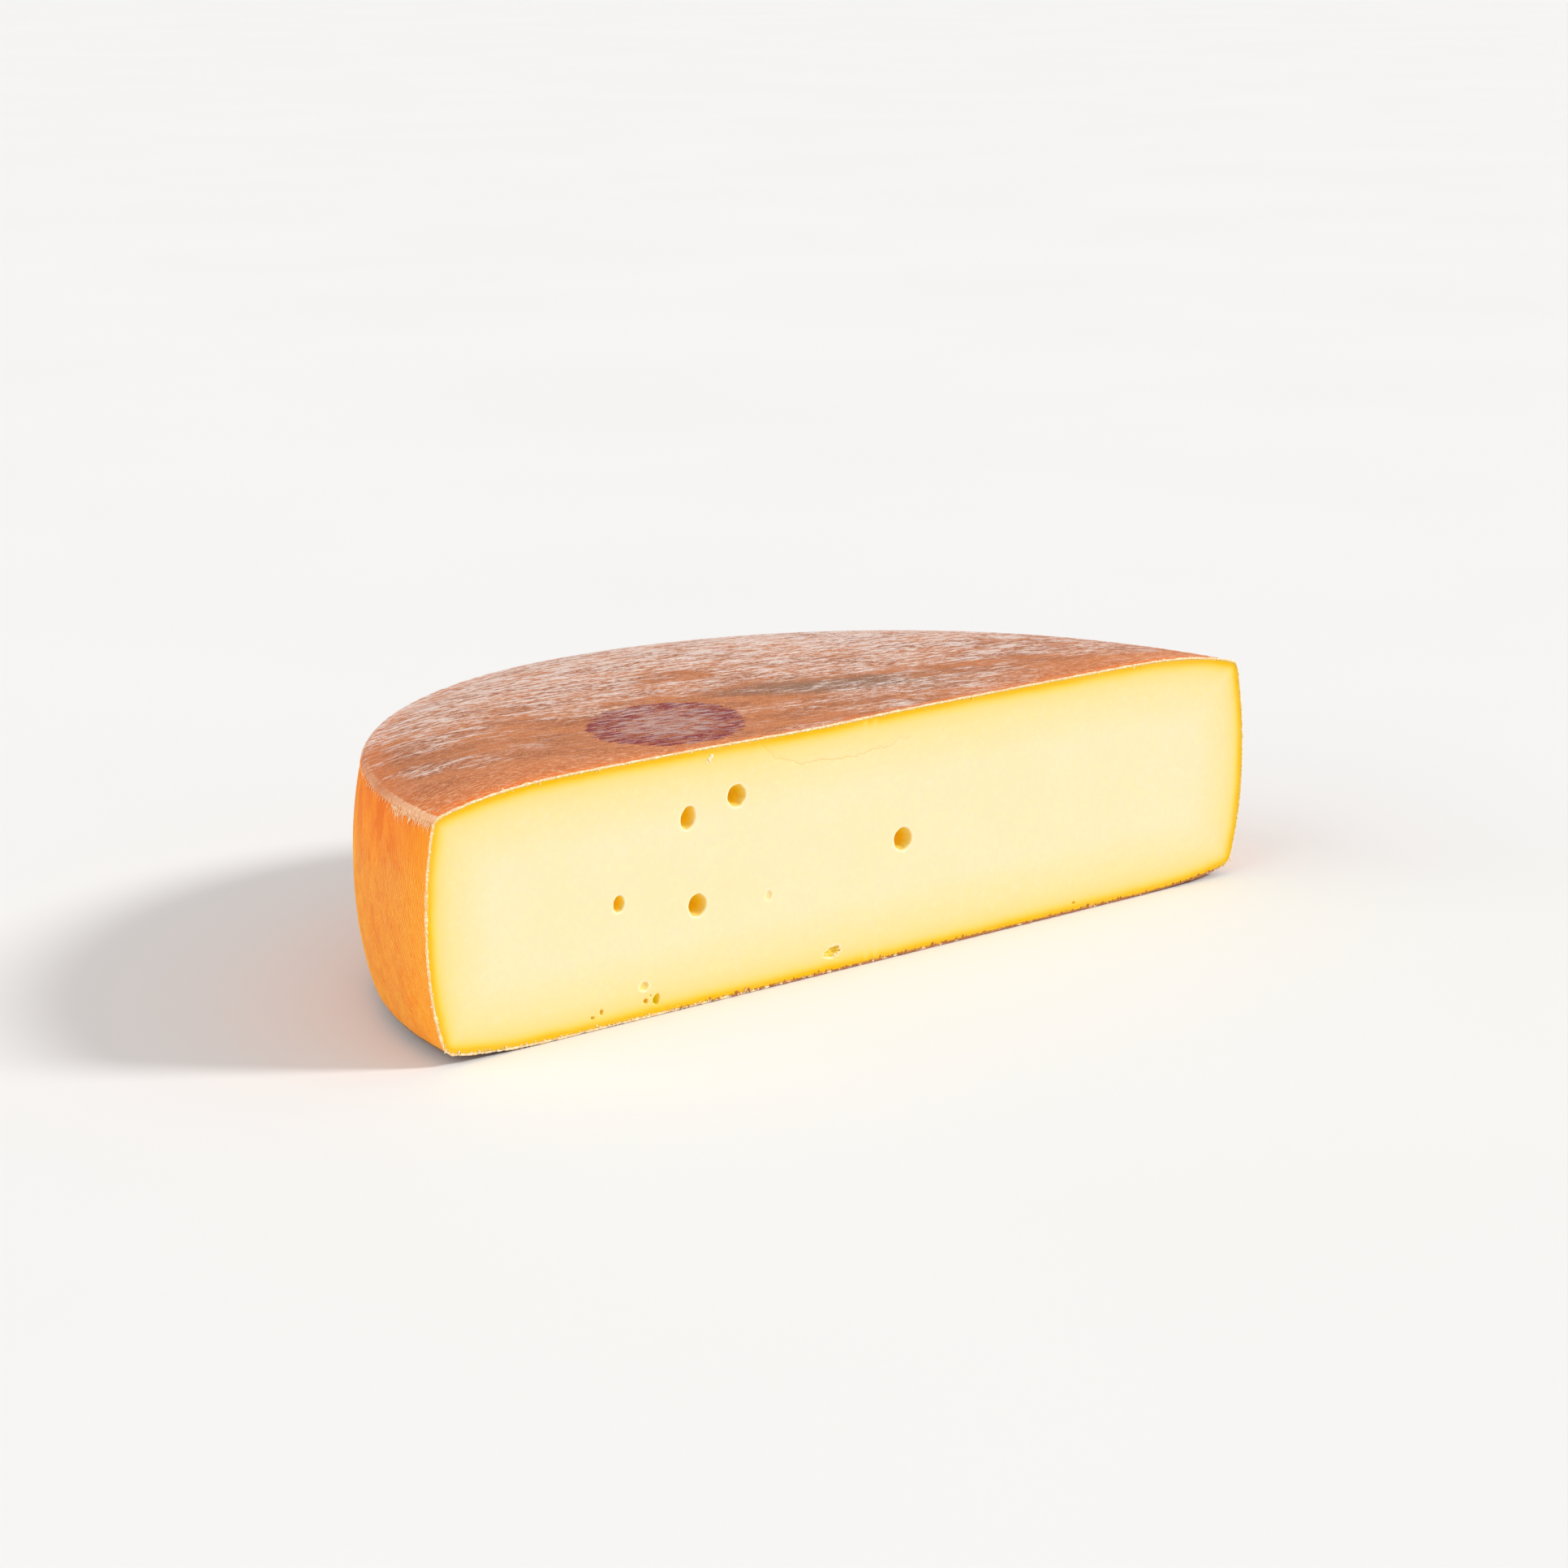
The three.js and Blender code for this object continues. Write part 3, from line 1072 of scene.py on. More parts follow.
@dataclass(frozen=True)
class TopFinish:
    """The brown top: cloth ribs with painted shade between them, broken streaks of bloom, an orange
    edge, a worn ink oval and a painted cast shadow.
    """

    brown: Colour = srgb(192, 118, 74)
    # Darker brown of the patches, also laid between the ribs as painted shade.
    umber: Colour = srgb(158, 94, 62)
    # Dark grey-brown of the painted cast shadow across the top.
    painted_shadow: Colour = srgb(124, 96, 80)
    warm: Colour = srgb(220, 132, 76)
    orange: Colour = srgb(222, 118, 54)
    vivid: Colour = srgb(242, 116, 18)
    bloom: Colour = srgb(234, 214, 204)
    speck: Colour = srgb(240, 196, 140)
    dark_speck: Colour = srgb(122, 72, 48)
    ink: Colour = srgb(128, 36, 52)
    scuff: Colour = srgb(196, 172, 168)
    lip: Colour = srgb(248, 190, 144)
    worn_lip: Colour = srgb(228, 150, 88)
    white: Colour = srgb(254, 230, 200)
    section: Colour = srgb(254, 214, 150)
    rib_pitch: float = 1.3 * MM
    ink_oval: Oval = Oval(-49.0 * MM, 37.6 * MM, 27.0 * MM, 22.0 * MM, -35.0)
    # Where the painted cast shadow lies on the top.
    painted_shadow_oval: Oval = Oval(18.0 * MM, 46.0 * MM, 46.0 * MM, 14.0 * MM, 24.0)
    bright_lip: float = 28.0 * MM
    lip_width: float = 0.6 * MM

    def _away(self, w: Finish, form: WheelForm, oval: Oval) -> Socket:
        """Measures how far a place on the top is from the middle of an oval.

        Args:
            w: the finish being built.
            form: the wheel's form, for where its middle is.
            oval: the oval.

        Returns:
            0 in the middle and 1 on the oval.
        """
        moved = w.vector("SUBTRACT", w.place, (oval.x, form.middle_y + oval.y, 0.0))
        feeds = {"Vector": moved, "Angle": math.radians(oval.turn)}
        turned = w.out("ShaderNodeVectorRotate", feeds)
        shares = (1.0 / oval.half_length, 1.0 / oval.half_width, 0.0)
        feeds = {0: w.vector("MULTIPLY", turned, shares)}
        return w.add("ShaderNodeVectorMath", feeds, operation="LENGTH").outputs["Value"]

    def _from_end(self, w: Finish, form: WheelForm) -> Socket:
        """Measures the way round the rim to the nearer end of the cut.

        Args:
            w: the finish being built.
            form: the wheel's form, for the way round it.

        Returns:
            The way.
        """
        round_way = w.layer(Layer.ROUND_WAY)
        whole = math.pi * form.radius - form.cut_behind_middle
        left = w.maths("SUBTRACT", round_way, form.cut_behind_middle)
        return w.maths("MINIMUM", left, w.maths("SUBTRACT", whole, round_way))

    def make(self, form: WheelForm) -> bpy.types.Material:
        """Builds the finish.

        Args:
            form: the wheel's form, for where its middle and the cut are.

        Returns:
            The finish's material.
        """
        w = Finish("top_rind")
        place, grain = w.place, w.grain()
        patch = w.cloud(grain, (11, 26, WIDE), detail=4.0, rough=0.6)
        haze = w.cloud(grain, (15, 34, WIDE), detail=4.0, rough=0.6, seed=4.0)
        bend = w.cloud(grain, (6, 22, WIDE), detail=2.0)
        rib = w.ribs(w.layer(Layer.ACROSS), self.rib_pitch, w.product(bend, 2.4))
        streak = w.cloud(grain, STREAKS, detail=4.0, rough=0.6)
        hatch = w.cloud(grain, (0.6, 3.0, WIDE), detail=3.0, rough=0.7)
        speck = w.cloud(place, (0.42, 0.42, 0.42), detail=2.0)
        from_end = self._from_end(w, form)
        from_cut = w.maths("SUBTRACT", w.part(place, 1), form.cut_y)
        w.colour = w.blend(w.ease(patch, 0.38, 0.6), self.umber, self.brown)
        w.lay(w.ease(hatch, 0.42, 0.62, 0.0, 0.7), self.warm)
        # Painted shade in the valleys between the cloth ribs.
        w.lay(w.ease(rib, 0.1, 0.6, 0.3, 0.0), self.umber)
        by_end = w.ease(from_end, 12 * MM, 60 * MM, 1.0, 0.0)
        corner = w.product(by_end, w.ease(from_cut, 2 * MM, 36 * MM, 1.0, 0.0))
        self._age(w, form, patch, from_cut)
        w.lay(w.product(corner, 0.5), self.orange)
        tip = w.product(w.ease(from_end, 2 * MM, 22 * MM, 1.0, 0.0), by_end)
        tip = w.product(tip, w.ease(from_cut, 1 * MM, 9 * MM, 1.0, 0.0))
        w.lay(w.product(tip, w.ease(hatch, 0.4, 0.66, 1.0, 0.5)), self.vivid)
        far = w.ease(from_cut, 30 * MM, 120 * MM, -0.03, 0.24)
        right = w.ease(w.part(place, 0), -20 * MM, 90 * MM, -0.01, 0.12)
        rim = w.ease(from_end, 10 * MM, 110 * MM, -0.1, 0.0)
        dense = w.maths("ADD", w.maths("ADD", haze, far), w.maths("ADD", rim, right))
        fuller = w.linear(w.maths("ADD", far, right), 0.3, streak)
        cover = w.product(w.ease(fuller, 0.535, 0.59), w.ease(dense, 0.4, 0.56, 0.15, 1.0))
        cover = w.product(cover, w.ease(hatch, 0.36, 0.52, 0.3, 1.0))
        thin = w.product(w.ease(hatch, 0.48, 0.6), w.ease(dense, 0.42, 0.62, 0.06, 0.8))
        cover = w.maths("MAXIMUM", cover, thin)
        cover = w.product(cover, w.linear(corner, -0.8, 1.0), 0.92)
        w.lay(w.product(w.ease(hatch, 0.5, 0.62), corner, 0.7), self.lip)
        w.lay(cover, self.bloom)
        self._ink(w, form, cover)
        w.lay(w.ease(speck, 0.6, 0.72, 0.0, 0.7), self.speck)
        w.lay(w.ease(speck, 0.28, 0.4, 0.55, 0.0), self.dark_speck)
        self._brush_rim(w, from_end, from_cut)
        w.lay(w.layer(Layer.SECTION), self.section)
        w.set(Roughness=0.78, Specular_IOR_Level=0.22)
        w.scatter(0.08, 0.8 * MM, (1.0, 0.45, 0.2))
        relief = w.linear(rib, 0.5, w.maths("ADD", streak, hatch))
        relief = w.linear(speck, 0.6, relief)
        w.rough_up(relief, 0.26 * MM, 0.65)
        return w.done()

    def _age(self, w: Finish, form: WheelForm, patch: Source, from_cut: Source) -> None:
        """Lays the painted cast shadow, a dark oval across the top, and the orange edges on the brown.

        Args:
            w: the finish being built.
            form: the wheel's form, for where its middle is.
            patch: the top's broad patches.
            from_cut: distance from the cut.
        """
        # Painted cast shadow: a dark oval whose edge is broken by the patches.
        away = self._away(w, form, self.painted_shadow_oval)
        away = w.linear(patch, 0.9, away)
        w.lay(w.ease(away, 0.6, 1.6, 0.75, 0.0), self.painted_shadow)
        edge = w.cloud(w.place, (6, 2.6, WIDE), detail=4.0, rough=0.65)
        near_cut = w.linear(edge, -11 * MM, from_cut)
        w.lay(w.ease(near_cut, -3.5 * MM, 0.0, 0.85, 0.0), self.orange)
        near_rim = w.linear(edge, -14 * MM, w.layer(Layer.RIM_WAY))
        w.lay(w.ease(near_rim, -5 * MM, 4 * MM, 0.45, 0.0), self.orange)

    def _ink(self, w: Finish, form: WheelForm, cover: Source) -> None:
        """Lays the plain worn ink on the bloom.

        Args:
            w: the finish being built.
            form: the wheel's form, for where its middle is.
            cover: share of the bloom, which wears the ink.
        """
        torn = w.cloud(w.place, (6, 1.5, WIDE), detail=4.0, rough=0.6, seed=2.0)
        away = self._away(w, form, self.ink_oval)
        away = w.linear(torn, 0.3, away)
        left = w.ease(away, 0.5, 0.95, 0.55, 0.0)
        worn = w.ease(w.maths("ADD", torn, w.product(left, 0.2)), 0.46, 0.6, 0.95, 0.45)
        worn = w.product(worn, w.linear(cover, -0.45, 1.0))
        within = w.ease(away, 1.1, 1.16, 1.0, 0.0)
        w.lay(w.product(within, worn), self.ink)
        rubbed = w.cloud(w.grain(), (1.0, 6.0, WIDE), detail=4.0, seed=7.0)
        rubbed = w.ease(w.linear(left, 0.14, rubbed), 0.53, 0.6, 0.0, 0.62)
        w.lay(w.product(within, rubbed), self.scuff)

    def _brush_rim(self, w: Finish, from_end: Source, from_cut: Source) -> None:
        """Brushes the rim pale, most of all near both ends of the cut, and frays the cut's edge.

        Args:
            w: the finish being built.
            from_end: way round the rim to the nearer end of the cut.
            from_cut: distance from the cut.
        """
        rim_way = w.layer(Layer.RIM_WAY)
        spread = w.joined(w.layer(Layer.ROUND_WAY), rim_way)
        brushed = w.joined(w.layer(Layer.ACROSS), rim_way)
        strokes = w.cloud(brushed, (0.34, 4.0, WIDE), detail=3.0, rough=0.6)
        sway = w.cloud(spread, (9, 60, WIDE), detail=4.0, seed=5.0)
        spikes = w.ease(strokes, 0.3, 0.7, 0.0, 0.9 * MM)
        reach = w.linear(sway, 0.8 * MM, spikes)
        inwards = w.maths("SUBTRACT", rim_way, reach)
        near = w.ease(from_end, 0.3 * self.bright_lip, 1.8 * self.bright_lip, 1.0, 0.0)
        share = w.maths("MAXIMUM", near, w.ease(sway, 0.48, 0.6, 0.05, 0.4))
        edge = w.ease(inwards, self.lip_width - 0.35 * MM, self.lip_width, 0.95, 0.0)
        lip = w.product(edge, share)
        w.lay(lip, w.blend(w.ease(strokes, 0.38, 0.5), self.worn_lip, self.lip))
        low = w.ease(rim_way, -1.4 * MM, 0.6 * MM, 1.0, 0.45)
        w.lay(w.product(w.ease(strokes, 0.5, 0.62), low, lip), self.white)
        torn = w.cloud(w.place, (2.6, 1.6, WIDE), detail=4.0, rough=0.7, seed=6.0)
        by_cut = w.linear(torn, -3.6 * MM, from_cut)
        fray = w.ease(by_cut, -1.0 * MM, -0.5 * MM, 0.9, 0.0)
        w.lay(fray, self.lip)
        w.lay(w.product(fray, w.ease(torn, 0.5, 0.66)), self.white)


@dataclass(frozen=True)
class BaseFinish:
    """The underside: dull brown cloth-marked rind, with painted shade between the ribs."""

    brown: Colour = srgb(168, 112, 76)
    # Dark brown of the patches, also laid between the ribs as painted shade.
    dark: Colour = srgb(126, 82, 58)
    bloom: Colour = srgb(206, 180, 160)
    section: Colour = srgb(226, 150, 50)
    rib_pitch: float = 1.6 * MM

    def make(self, form: WheelForm) -> bpy.types.Material:
        """Builds the finish.

        Args:
            form: the wheel's form; not used.

        Returns:
            The finish's material.
        """
        w = Finish("base_rind")
        grain = w.grain()
        patch = w.cloud(grain, (12, 26, WIDE), detail=4.0, rough=0.6)
        bend = w.cloud(grain, (9, 22, WIDE), detail=2.0)
        rib = w.ribs(w.layer(Layer.ACROSS), self.rib_pitch, w.product(bend, 2.0))
        hatch = w.cloud(grain, (0.8, 3.0, WIDE), rough=0.65)
        w.colour = w.blend(w.ease(patch, 0.36, 0.62), self.dark, self.brown)
        # Painted shade in the valleys between the cloth ribs.
        w.lay(w.ease(rib, 0.0, 0.5, 0.4, 0.0), self.dark)
        bloom = w.product(w.ease(hatch, 0.52, 0.7), w.ease(patch, 0.4, 0.6))
        w.lay(w.product(bloom, 0.6), self.bloom)
        w.lay(w.layer(Layer.SECTION), self.section)
        w.set(Roughness=0.8, Specular_IOR_Level=0.2)
        w.rough_up(w.linear(rib, 0.6, hatch), 0.22 * MM, 0.6)
        return w.done()


@dataclass(frozen=True)
class CrumbFinish:
    """Torn bits of rind and paste."""

    pale: Colour = srgb(254, 232, 190)
    peach: Colour = srgb(248, 196, 136)
    brown: Colour = srgb(186, 112, 56)
    brown_share: float = 0.0
    low_brown: float = 0.3
    glow: float = 0.3

    def make(self, name: str) -> bpy.types.Material:
        """Builds the finish.

        Args:
            name: the material's name.

        Returns:
            The finish's material.
        """
        w = Finish(name)
        place = w.place
        bit = w.cloud(place, (2.2, 2.2, 2.2), rough=0.7)
        tint = w.cloud(place, (0.8, 0.8, 0.8), detail=2.0)
        torn = w.blend(w.ease(tint, 0.4, 0.62), self.peach, self.pale)
        by_base = w.product(w.ease(w.part(place, 2), 2 * MM, 5 * MM, 1.0, 0.0), self.low_brown)
        by_base = w.product(by_base, w.ease(w.part(place, 0), -100 * MM, -20 * MM))
        bit = w.maths("SUBTRACT", bit, by_base)
        low = 0.3 + self.brown_share
        w.colour = w.blend(w.ease(bit, low, low + 0.08), self.brown, torn)
        w.set(Roughness=0.6)
        w.scatter(self.glow, 0.8 * MM, (1.0, 0.5, 0.2))
        w.rough_up(tint, 0.1 * MM, 0.5)
        return w.done()


@dataclass
class Paste:
    """The paste: its cut face with gas holes and a crack, and its hidden back."""

    form: WheelForm
    finish: PasteFinish
    under_rind: float = 0.52 * MM
    recess: float = 0.35 * MM
    row_spacing: float = 0.8 * MM
    columns: int = 26
    face_spacing: float = 0.9 * MM
    wave_depth: float = 0.14 * MM
    drag_depth: float = 0.035 * MM
    large_hole: float = 2.5
    # Largest share of the painted shade and glow in the gas holes.
    hole_shade_share: float = 0.95
    # Share of the painted highlight on the big holes' mouths.
    rim_highlight_share: float = 0.7
    crack_shade_share: float = 0.8
    mouth_shade: float = 0.2
    wall_shade: float = 0.45
    dark_depth: float = 1.8
    sharp_angle: float = 62.0
    holes: tuple[GasHole, ...] = (
        GasHole(-64.5, 53.6, 5.0, 6.8, 4.4, -16.0, around=40, rings=12),
        GasHole(-47.7, 57.1, 6.4, 6.4, 5.0, -8.0, ragged=0.09, around=44, rings=12),
        GasHole(-88.1, 33.8, 3.8, 4.8, 3.2, -6.0, around=34, rings=10),
        GasHole(-61.6, 28.5, 6.3, 6.5, 5.2, 0.0, around=44, rings=12),
        GasHole(12.1, 34.4, 6.8, 6.8, 5.4, 8.0, ragged=0.08, around=44, rings=12),
        GasHole(-76.2, 4.6, 2.4, 3.2, 2.0, -20.0, ragged=0.2, around=22, rings=6),
        GasHole(-79.8, 4.8, 1.7, 1.5, 1.4, ragged=0.25, around=16, rings=5),
        GasHole(-78.1, 6.1, 0.8, 0.8, 0.8, ragged=0.25, around=12, rings=4),
        GasHole(-94.6, 4.7, 1.3, 1.8, 1.2, ragged=0.15, around=16, rings=5),
        GasHole(-97.6, 3.7, 1.4, 1.1, 1.0, ragged=0.3, around=14, rings=5),
        GasHole(79.2, 2.8, 1.6, 0.9, 0.9, ragged=0.2, around=12, rings=4),
        GasHole(-80.2, 9.1, 3.1, 2.6, 0.7, set_back=-0.45, ragged=0.14, around=24, rings=5),
        GasHole(-36.9, 26.7, 2.6, 2.8, 0.45, -20.0, -0.45, 0.12, 24, 5),
        GasHole(-14.1, 5.9, 5.7, 2.9, 1.3, 12.0, -0.2, 0.3, 56, 8, lobe=0.3),
    )
    crack: Crack = Crack(
        points=(
            (-39.4, 71.2), (-38.6, 69.2), (-35.6, 67.3), (-34.4, 65.7), (-30.5, 64.6),
            (-24.5, 62.2), (-17.7, 62.4), (-11.0, 61.5), (-4.1, 61.6), (2.7, 62.5),
            (7.2, 62.4), (11.0, 64.3), (14.8, 63.8),
        )
    )

    @property
    def _cut_y(self) -> float:
        """Place of the visible cut, just behind the solid's, so that crumbs stay in the box."""
        return self.form.cut_y + self.recess

    def build(self) -> bpy.types.Object:
        """Builds the paste as one closed mesh.

        Returns:
            The piece.
        """
        places, faces, loop = self._back()
        outline = places[loop][:, [0, 2]]
        marks = self._marks()
        face_places, triangles = self._face(outline, marks)
        flat = face_places[len(loop) :]
        ids = np.concatenate([loop, np.arange(len(places), len(places) + len(flat))])
        added = np.column_stack([flat[:, 0], np.full(len(flat), self._cut_y), flat[:, 1]])
        places = np.vstack([places, added])
        faces += [tuple(int(ids[i]) for i in triangle) for triangle in triangles]
        spans = self._spans(len(loop), marks)
        places, faces, inner = self._hollow_out(places, faces, ids, spans, marks)
        layers = self._layers(places, ids, outline, spans, inner)
        places = self._worked_face(places, ids, len(loop), spans, layers[Layer.RIND_DEPTH])
        mesh = new_mesh("paste", places, faces)
        mesh.validate()
        set_layers(mesh, layers)
        face_out(mesh)
        smooth_with_edges(mesh, self.sharp_angle)
        mesh.materials.append(self.finish.make())
        return new_object("paste", mesh)

    def _back(self) -> tuple[np.ndarray, Faces, np.ndarray]:
        """Builds the paste's back, under the rind.

        Returns:
            Places, faces, and the indices of the loop round the cut, closed, that starts at
            the middle of the base and goes up the right half.
        """
        cut = self.form.cut_behind_middle + self.recess
        profile = self.form.profile(cut)
        at = np.linspace(0.0, profile.end, int(profile.end / self.row_spacing) + 1)
        rows = profile.rows(at, self.under_rind)
        shares = (1.0 - np.cos(np.linspace(0.0, math.pi, self.columns + 1))) / 2.0
        wide, count = len(shares), len(at) - 2
        inner = self.form.turn(np.repeat(rows[1:-1], wide, axis=0), np.tile(shares, count), cut)
        ends = self.form.turn(rows[[0, -1]], np.array([0.5, 0.5]), cut)
        places = self.form.work_by_hand(np.vstack([ends, inner]))
        left = 2 + np.arange(count) * wide
        right = left + wide - 1
        places[np.concatenate([[0, 1], left, right]), 1] = self._cut_y
        faces = grid_faces(count, wide, 2)
        first = 2 + np.arange(wide - 1)
        last = first + (count - 1) * wide
        faces += [(0, int(a), int(a) + 1) for a in first]
        faces += [(1, int(a) + 1, int(a)) for a in last]
        return places, faces, np.concatenate([[0], right, [1], left[::-1]])

    def _marks(self) -> Marks:
        """Lists the loops and lines that the cut face's triangles keep.

        Returns:
            The mouths of the gas holes, the rings round them, and the crack's three lines.
        """
        line = self.crack.line()
        along = unit(np.gradient(line, axis=0))
        across = np.column_stack([-along[:, 1], along[:, 0]]) * self.crack.half_width * MM
        taper = np.sin(np.linspace(0.12, math.pi - 0.12, len(line)))[:, None] ** 0.5
        return {
            "mouth": [hole.mouth() for hole in self.holes],
            "crack": [line, line + across * taper, line - across * taper],
            "lip": [hole.mouth(hole.lip) for hole in self.holes],
            # Loop where the painted highlight round each mouth has faded out.
            "halo": [hole.mouth(hole.lip + 0.45 * MM) for hole in self.holes],
        }

    def _spans(self, start: int, marks: Marks) -> Spans:
        """Finds where each loop and line lies among the cut face's points.

        Args:
            start: number of points before the first loop.
            marks: the loops and lines.

        Returns:
            A span of points for each.
        """
        spans: Spans = {}
        for name, lines in marks.items():
            spans[name] = []
            for line in lines:
                spans[name].append(slice(start, start + len(line)))
                start += len(line)
        return spans

    def _face(self, loop: np.ndarray, marks: Marks) -> Pair:
        """Fills the cut face with triangles, round the mouths of the gas holes.

        Args:
            loop: rows of x and z round the cut.
            marks: loops and lines to keep.

        Returns:
            Rows of x and z, the loop's first, and triangles as three indices each.
        """
        closed = [loop, *marks["mouth"]]
        fixed = closed + marks["crack"] + marks["lip"] + marks["halo"]
        edges, start = [], 0
        for number, line in enumerate(fixed[: len(closed) + len(marks["crack"])]):
            ids = list(range(start, start + len(line)))
            ends = ids[1:] + ids[:1] if number < len(closed) else ids[1:]
            edges += list(zip(ids, ends))
            start += len(line)
        kept = np.vstack(fixed)
        low, high = loop.min(0), loop.max(0)
        step = self.face_spacing
        lattice = []
        for row, z in enumerate(np.arange(low[1] + step, high[1], step * 0.866)):
            for x in np.arange(low[0] + step * (0.5 + 0.5 * (row % 2)), high[0], step):
                lattice.append((x, z))
        lattice = np.array(lattice)
        lattice = lattice[inside(lattice, loop)]
        clear = distances(lattice, kept) > 0.6 * step
        points = np.vstack([kept, lattice[clear]])
        found = delaunay_2d_cdt([Vector(p) for p in points], edges, [], 1, 1e-9)
        places = np.array([tuple(v) for v in found[0]])
        if len(places) != len(points):
            log.warning("the cut face has %d points too many", len(places) - len(points))
        triangles = np.array(found[2])
        middles = places[triangles].mean(axis=1)
        keep = inside(middles, loop)
        for mouth in marks["mouth"]:
            keep &= ~inside(middles, mouth)
        return places, triangles[keep]

    def _hollow_out(
        self, places: np.ndarray, faces: Faces, ids: np.ndarray, spans: Spans, marks: Marks
    ) -> tuple[np.ndarray, Faces, np.ndarray]:
        """Adds the walls of the gas holes behind their mouths.

        Args:
            places: all places so far.
            faces: all faces so far.
            ids: index of each of the cut face's points among the places.
            spans: where each loop lies among the cut face's points.
            marks: the loops that the face was built round.

        Returns:
            Places, faces, and how deep inside a hollow each place lies, from 0 to 1.
        """
        inner = np.zeros(len(places))
        for hole, mouth, span in zip(self.holes, marks["mouth"], spans["mouth"]):
            ring = [int(i) for i in ids[span]]
            middle = mouth.mean(axis=0)
            start = self._cut_y + 0.4 * hole.lip
            places[ring, 1] = start
            inner[ring] = self.mouth_shade
            steps = hole.rings_inside()
            shade = min(1.0, hole.depth / self.dark_depth)
            for number, (share, depth) in enumerate(steps):
                flat = middle + (mouth - middle) * share
                spots = np.column_stack([flat / MM, np.full(len(flat), depth / MM)])
                rough = 1.0 + hole.ragged * noise_at(spots, (0.8, 0.8, 0.8), hole.x)
                flat = middle + (flat - middle) * rough[:, None]
                y = start + depth * (0.5 + 0.5 * rough)
                first = len(places)
                places = np.vstack([places, np.column_stack([flat[:, 0], y, flat[:, 1]])])
                way = min(1.0, 2.2 * (number + 1) / len(steps))
                # Share of painted shade and glow, growing down the wall.
                deep = shade * (self.wall_shade + (1.0 - self.wall_shade) * way)
                inner = np.concatenate([inner, np.full(len(flat), deep)])
                new = list(range(first, first + len(flat)))
                faces += quads_between(ring, new)
                ring = new
            faces += [(a, b, len(places)) for a, b in zip(ring, ring[1:] + ring[:1])]
            bottom = [middle[0], start + hole.depth * MM, middle[1]]
            places = np.vstack([places, [bottom]])
            inner = np.concatenate([inner, [shade]])
        return places, faces, inner

    def _layers(
        self,
        places: np.ndarray,
        ids: np.ndarray,
        outline: np.ndarray,
        spans: Spans,
        inner: np.ndarray,
    ) -> dict[Layer, np.ndarray]:
        """Works out the values that the paste's finish reads.

        Args:
            places: rows of x, y, z.
            ids: index of each of the cut face's points.
            outline: rows of x and z round the cut.
            spans: where each loop and line lies among the cut face's points.
            inner: how deep inside a hollow each place lies.

        Returns:
            The values by layer.
        """
        depth = np.zeros(len(places))
        shown = np.concatenate([ids, np.flatnonzero(inner > 0.0)])
        depth[shown] = distances(places[shown][:, [0, 2]], outline)
        # Painted highlight on the mouths and lips of the big gas holes.
        halo = np.zeros(len(places))
        for hole, mouth, lip in zip(self.holes, spans["mouth"], spans["lip"]):
            if hole.width > self.large_hole:
                halo[ids[mouth]] = self.rim_highlight_share
                halo[ids[lip]] = self.rim_highlight_share
        # Painted shade along the crack's middle line.
        crack = np.zeros(len(places))
        crack[ids[spans["crack"][0]]] = self.crack_shade_share
        return {
            Layer.RIND_DEPTH: depth,
            Layer.HOLLOW: inner * self.hole_shade_share,
            Layer.HALO: halo,
            Layer.CRACK_SHADE: crack,
        }

    def _worked_face(
        self, places: np.ndarray, ids: np.ndarray, edge: int, spans: Spans, depth: np.ndarray
    ) -> np.ndarray:
        """Gives the cut face the knife's waves and drag marks, and sinks the crack.

        Args:
            places: rows of x, y, z.
            ids: index of each of the cut face's points.
            edge: how many of those are on the face's outline, and stay.
            spans: where each loop and line lies among the cut face's points.
            depth: distance to the rind of every point.

        Returns:
            The moved places.
        """
        moved = places.copy()
        shown = ids[edge:]
        spots = places[shown]
        broad = 0.5 + 0.5 * noise_at(spots, (42 * MM, 1.0, 30 * MM), 1.3)
        drag = 0.5 + 0.5 * noise_at(spots, (1.9 * MM, 1.0, 60 * MM), 5.1)
        inwards = broad * self.wave_depth + drag * self.drag_depth
        moved[shown, 1] += inwards * smooth_step(depth[shown], 0.0, 3.0 * MM)
        line = ids[spans["crack"][0]]
        taper = np.sin(np.linspace(0.1, math.pi - 0.1, len(line))) ** 0.5
        moved[line, 1] += self.crack.depth * MM * taper
        return moved


